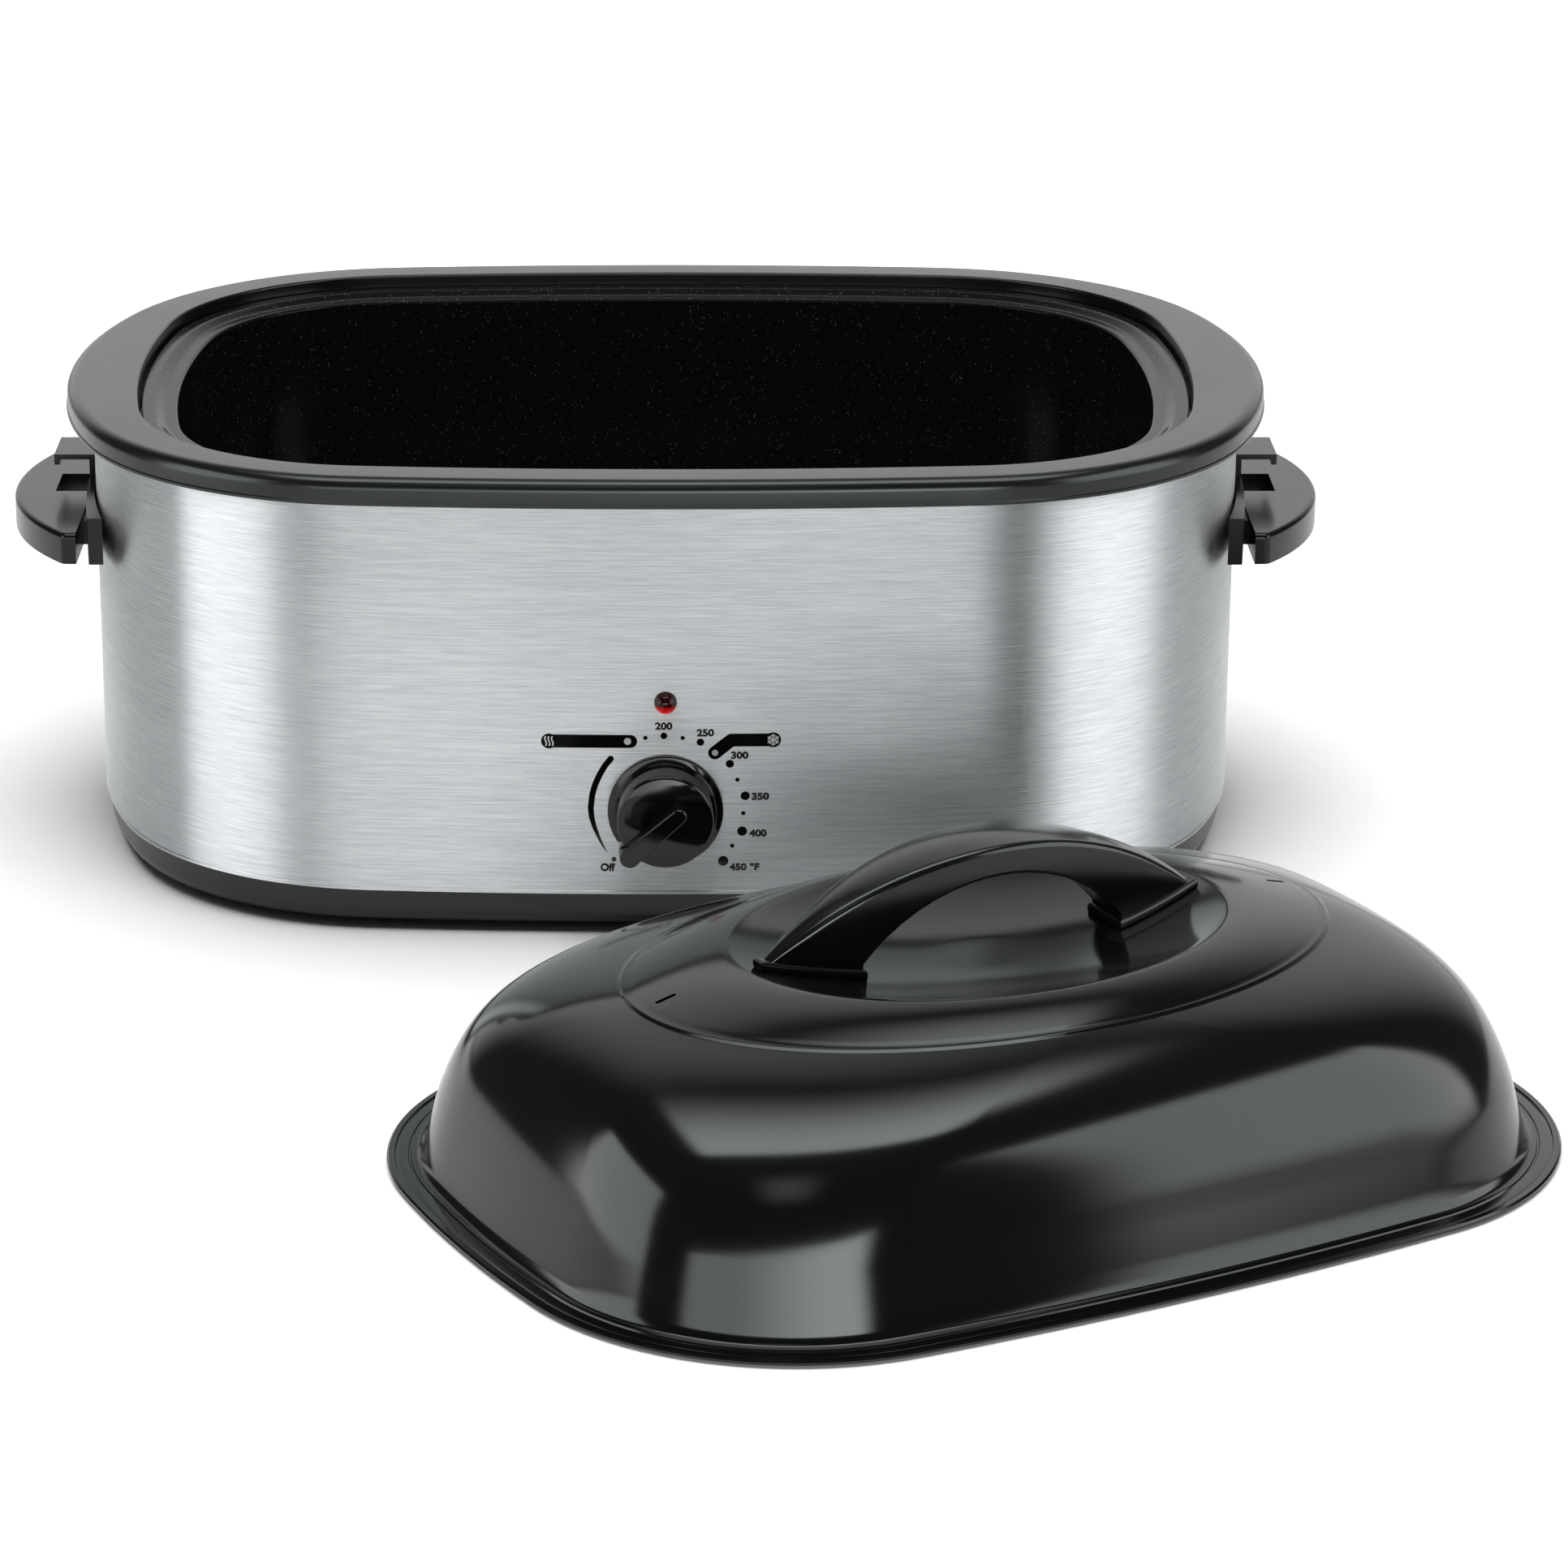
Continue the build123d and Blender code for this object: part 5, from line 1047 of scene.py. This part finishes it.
finishes = {
    "brushed_steel": steel,
    "ring_black": moulding("ring black", colour(0.006), 0.24, Specular_IOR_Level=0.5,
                           Specular_Tint=colour(0.92, 1.0, 0.99)),
    "base_black": moulding("base black", colour(0.004), 0.2, 0.03),
    "handle_black": moulding("handle black", colour(0.004), 0.2, 0.03, Specular_IOR_Level=0.33),
    "gland_black": moulding("gland black", colour(0.016), 0.45, 0.08),
    "lid_handle_black": moulding("lid handle black", colour(0.004, 0.005, 0.0047), 0.15, 0.012, 0.03,
                                 Specular_Tint=colour(0.93, 1.0, 0.98)),
    "knob_black": moulding("knob black", colour(0.004), 0.09, 0.006, 0.02, Specular_IOR_Level=0.4),
    "lid_black": moulding("lid enamel", colour(0.003, 0.0036, 0.0034), 0.12, 0.004, 0.02, 900,
                          Specular_Tint=colour(0.92, 1.0, 0.97)),
    "foot_rubber": moulding("foot rubber", colour(0.02), 0.7, 0.15),
}

# %% [markdown]
# ## Enamel with speckle, and the lens
# The pan's enamel is fired with pale grains in a near-black ground. A cell pattern thresholded at
# its middles gives sharp grains of one size, and patches of noise make them sparse. The lens is a
# clear red plastic, lit from the room alone. Its glow is painted: an emission, and a base colour
# that turns from dark red at the top to bright red at its lower edge, as painted light gathered there.

# %% Make the pan's enamel and the red lens
enamel, wire, shader = finish("pan enamel", colour(0.005), 0.14, Specular_IOR_Level=0.1)
cells = wire.node("ShaderNodeTexVoronoi", {}, {"Vector": wire.place(), "Scale": 800.0})
patches = noise(wire, 300, 2, 0.6)
specks = (cells < 0.17) * patches.smooth(0.52, 0.6)
feed(shader, Base_Color=specks.blend(colour(0.006), colour(0.2)),
     Normal=bump(wire, noise(wire, 160, 2), 0.03, 0.0006))
finishes["pan_enamel"] = enamel

# The emission is a painted glow, since no lamp lights the lens here.
red, wire, shader = finish("lens red", colour(0.35, 0.01, 0.008), 0.08, Emission_Strength=0.45,
                           Specular_IOR_Level=0.22)
# Painted light: this mask makes the lens dark red at the top, and bright red and glowing low down.
low = wire.place().part(2).smooth((PILOT_Z - 3.4) * MM, (PILOT_Z + 0.4) * MM, 1.0, 0.0)
painted_glow_ribs = noise(wire, 700, 1, 0.5)
feed(shader, Base_Color=low.blend(colour(0.03, 0.001, 0.001), colour(0.42, 0.004, 0.003)),
     Emission_Color=(low * (painted_glow_ribs * 0.3 + 0.85)).blend(colour(0), colour(0.85, 0.004, 0.002)))
finishes["lens_red"] = red

ink, wire, shader = finish("white ink", colour(0.8), 0.5)
feed(shader, Base_Color=noise(wire, 900, 2).blend(colour(0.74), colour(0.84)))
pale_print.data.materials.append(ink)

# %% [markdown]
# ## Metals, wool and ceramic
# Inside the body each material is plain, but none is perfectly even: sheet has a faint bloom,
# chrome a few dull spots, wool a fibre direction. One helper varies colour and roughness for metal,
# and another gives fibres and grains.

# %% Make the other finishes
def metal(name, dark, light, rough, scale=60):
    """A bare or plated metal with an uneven bloom."""
    made, wire, shader = finish(name, colour(*light), rough, Metallic=1.0)
    bloom = noise(wire, scale, 4, 0.6)
    feed(shader, Base_Color=bloom.smooth(0.35, 0.65).blend(colour(*dark), colour(*light)),
         Roughness=bloom * 0.2 + (rough - 0.1), Normal=bump(wire, bloom, 0.04, 0.0005))
    return made


def dull(name, dark, light, rough, scale, grain, depth=0.0008, tile=(1, 1, 1)):
    """A dull solid such as wool, ceramic or sleeving."""
    made, wire, shader = finish(name, colour(*light), rough)
    fibre = noise(wire, scale, 4, 0.6, tile)
    feed(shader, Base_Color=fibre.smooth(0.3, 0.7).blend(colour(*dark), colour(*light)),
         Normal=bump(wire, fibre, grain, depth))
    return made


finishes.update({
    "well_aluminised": metal("aluminised steel", (0.42, 0.43, 0.44), (0.58, 0.59, 0.6), 0.42),
    "rack_chrome": metal("rack chrome", (0.6, 0.61, 0.62), (0.76, 0.77, 0.78), 0.16, 120),
    "zinc": metal("zinc plate", (0.5, 0.51, 0.53), (0.66, 0.67, 0.68), 0.32, 200),
    "band_steel": metal("heater band", (0.22, 0.2, 0.18), (0.36, 0.34, 0.32), 0.5, 80),
    "bulb_copper": metal("copper", (0.45, 0.2, 0.11), (0.75, 0.38, 0.24), 0.3, 90),
    "lamp_glass": metal("lamp holder", (0.5, 0.45, 0.42), (0.66, 0.6, 0.56), 0.25, 90),
    "blanket_wool": dull("mineral wool", (0.38, 0.33, 0.24), (0.62, 0.56, 0.44), 0.95, 240, 0.8,
                         0.002, (1, 1, 4)),
    "ceramic_white": dull("ceramic", (0.72, 0.7, 0.66), (0.82, 0.81, 0.78), 0.55, 300, 0.1),
    "thermostat_body": dull("thermostat case", (0.10, 0.075, 0.05), (0.15, 0.11, 0.08), 0.5, 200, 0.1),
    "lead_sleeve": dull("glass sleeve", (0.55, 0.53, 0.48), (0.72, 0.7, 0.66), 0.8, 600, 0.4,
                        0.0004, (1, 1, 3)),
})
print("finishes:", sorted(finishes))

# %% [markdown]
# ## Giving each piece its finish
# The construction model's record names a finish for every node. The pieces made here carry the same
# names, so one pass dresses both. The pale pictures have had their own ink already.

# %% Dress every node and every new piece
slots = {entry["node"]: entry["material_slot"] for entry in frame["record"]["subparts"]}
meshes = [piece for piece in bpy.data.objects if piece.type == "MESH"]
for piece in meshes:
    slot = slots.get(piece.name) or piece.get("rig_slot")
    if slot:
        piece.data.materials.clear()
        piece.data.materials.append(finishes[slot])
print("pieces with a finish:", sum(len(piece.data.materials) for piece in meshes), "of", len(meshes))

# %% [markdown]
# ## Floor, light and camera
# The oven stands on a wide white floor. Metal and gloss black show the room more than themselves,
# so the room matters: a tall soft panel on each side, a low one in front, and soft light from above.
# Each panel is a glowing plane that fades to nothing at its edges, so that no reflection ends in a
# hard line. Behind the oven the world is a white backdrop, and the camera sees white all round. The
# floor is a plain pale grey to light and to reflections, and white to the camera away from the oven.

# %% Lay the floor
deselect()
bpy.ops.mesh.primitive_plane_add(size=14.0, location=(0, 0, -0.0004))
floor = bpy.context.object
floor.name = "white_floor"
paper, wire, shader = finish("white paper", colour(0.86), 0.9, Specular_IOR_Level=0.0,
                             Emission_Strength=1.0)
looked_at = wire.node("ShaderNodeLightPath")
seen = noise(wire, 3, 2).blend(colour(0.965), colour(0.975))
reach = wire.node("ShaderNodeVectorMath", {"operation": "LENGTH"}, {0: wire.place()}, "Value")
far_glow = looked_at * reach.smooth(0.25, 1.9)
feed(shader, Base_Color=looked_at.blend(colour(0.86), seen),
     Emission_Color=far_glow.blend(colour(0), colour(1)))
floor.data.materials.append(paper)
print("floor:", floor.dimensions.x, "m across")

# %% Build the room in the world
ROOM_GLOW = 0.06
world = bpy.data.worlds.new("studio")
bpy.context.scene.world = world
world.use_nodes = True
tree = world.node_tree
wire = Wire(tree)
direction = wire.node("ShaderNodeTexCoord", output="Generated")
from_front = wire.sum("ARCTAN2", direction.part(0), 0 - direction.part(1)) * (180 / pi)
away = wire.sum("ABSOLUTE", from_front)
rise = wire.sum("ARCSINE", direction.part(2)) * (180 / pi)
backdrop = away.smooth(132, 168) * rise.smooth(15, 45, 1.0, 0.5) * rise.smooth(42, 58, 1.0, 0.0)
camera_ray, glossy_ray, clear_ray = (
    wire.node("ShaderNodeLightPath", output="Is " + kind + " Ray")
    for kind in ("Camera", "Glossy", "Transmission")
)
white = wire.sum("MAXIMUM", camera_ray, wire.sum("MAXIMUM", glossy_ray, clear_ray) * backdrop)
room = backdrop * 0.94 + ROOM_GLOW
strength = room * (1 - white) + white
background = tree.nodes["Background"]
background.inputs["Color"].default_value = colour(1.0)
tree.links.new(strength.socket, background.inputs["Strength"])
print("nodes in the world:", len(tree.nodes))

# %% Stand and hang the soft panels
def panel(name, place, target, width, height, level, fade=0.25, sides=(1, 1), top_fade=0.0):
    """A glowing plane that looks at a point and fades over this share of its half width.

    Its two sides may glow by different shares, and its upper edge may fade over a longer one.
    """
    deselect()
    bpy.ops.mesh.primitive_plane_add(size=1.0, location=place)
    made = bpy.context.object
    made.name = name
    made.scale = (width, height, 1)
    made.rotation_euler = (Vector(target) - Vector(place)).to_track_quat("-Z", "Y").to_euler()
    made.visible_camera = False
    made.visible_diffuse = False
    made.visible_shadow = False
    glow, wire, shader = finish(name, colour(0), 1.0, Specular_IOR_Level=0.0,
                                Emission_Color=colour(1), Emission_Strength=level)
    across, up = wire.place().part(0), wire.place().part(1)
    shown = 1
    for way in (across, up):
        shown = wire.sum("ABSOLUTE", way).smooth(0.5 - 0.5 * fade, 0.5, 1.0, 0.0) * shown
    if top_fade:
        shown = up.smooth(0.5 - top_fade, 0.5, 1.0, 0.0) * shown
    glow_across = across.smooth(-0.15, 0.3).blend(colour(sides[0]), colour(sides[1]))
    feed(shader, Emission_Color=glow_across, Alpha=shown)
    made.data.materials.append(glow)


panel("left_panel", (-1.12, -0.62, 0.43), (0, -0.62, 0.43), 1.0, 0.88, 2.9, 0.2)
panel("right_panel", (1.5, -0.75, 0.72), (0, -0.75, 0.72), 1.6, 1.44, 2.75)
panel("front_panel", (-0.15, -1.5, 0.22), (-0.15, 0, 0.22), 1.74, 0.46, 2.8, sides=(0.97, 2.2))
panel("high_panel", (-0.14, -1.85, 2.0), (-0.14, -1.2, 0), 1.1, 1.2, 0.9, 0.9)
panel("overhead_panel", (0.06, -0.07, 2.0), (0.06, -0.069, 0), 2.2, 1.55, 4.6, 0.2, top_fade=0.88)

# %% Hang the soft lamp that lights the whole table
sky = bpy.data.lights.new("soft_sky", "AREA")
sky.shape = "RECTANGLE"
sky.size = 3.2
sky.size_y = 2.8
sky.energy = 112
lamp = bpy.data.objects.new("soft_sky", sky)
bpy.context.scene.collection.objects.link(lamp)
lamp.location = (0, -0.1, 2.6)
lamp.visible_glossy = False
print("lamp:", sky.size, "by", sky.size_y, "m,", sky.energy, "W")

# %% [markdown]
# ## The camera
# It stands at the height of someone across the counter, looks down a little, and has a long lens,
# so that the outlines stay true. A sideways shift of the lens makes room for the lid.

# %% Set the camera
CAMERA_TILT = 19.15
camera_data = bpy.data.cameras.new("portrait")
camera_data.lens = 117.72
camera_data.sensor_width = 36.0
camera_data.shift_x = 0.0756
camera = bpy.data.objects.new("portrait", camera_data)
bpy.context.scene.collection.objects.link(camera)
camera.location = (0, -2.348, 0.82063)
camera.rotation_euler = (radians(90 - CAMERA_TILT), 0, 0)
bpy.context.scene.camera = camera
bpy.context.scene.view_settings.view_transform = "Standard"
print("camera:", camera_data.lens, "mm,", CAMERA_TILT, "degrees down")
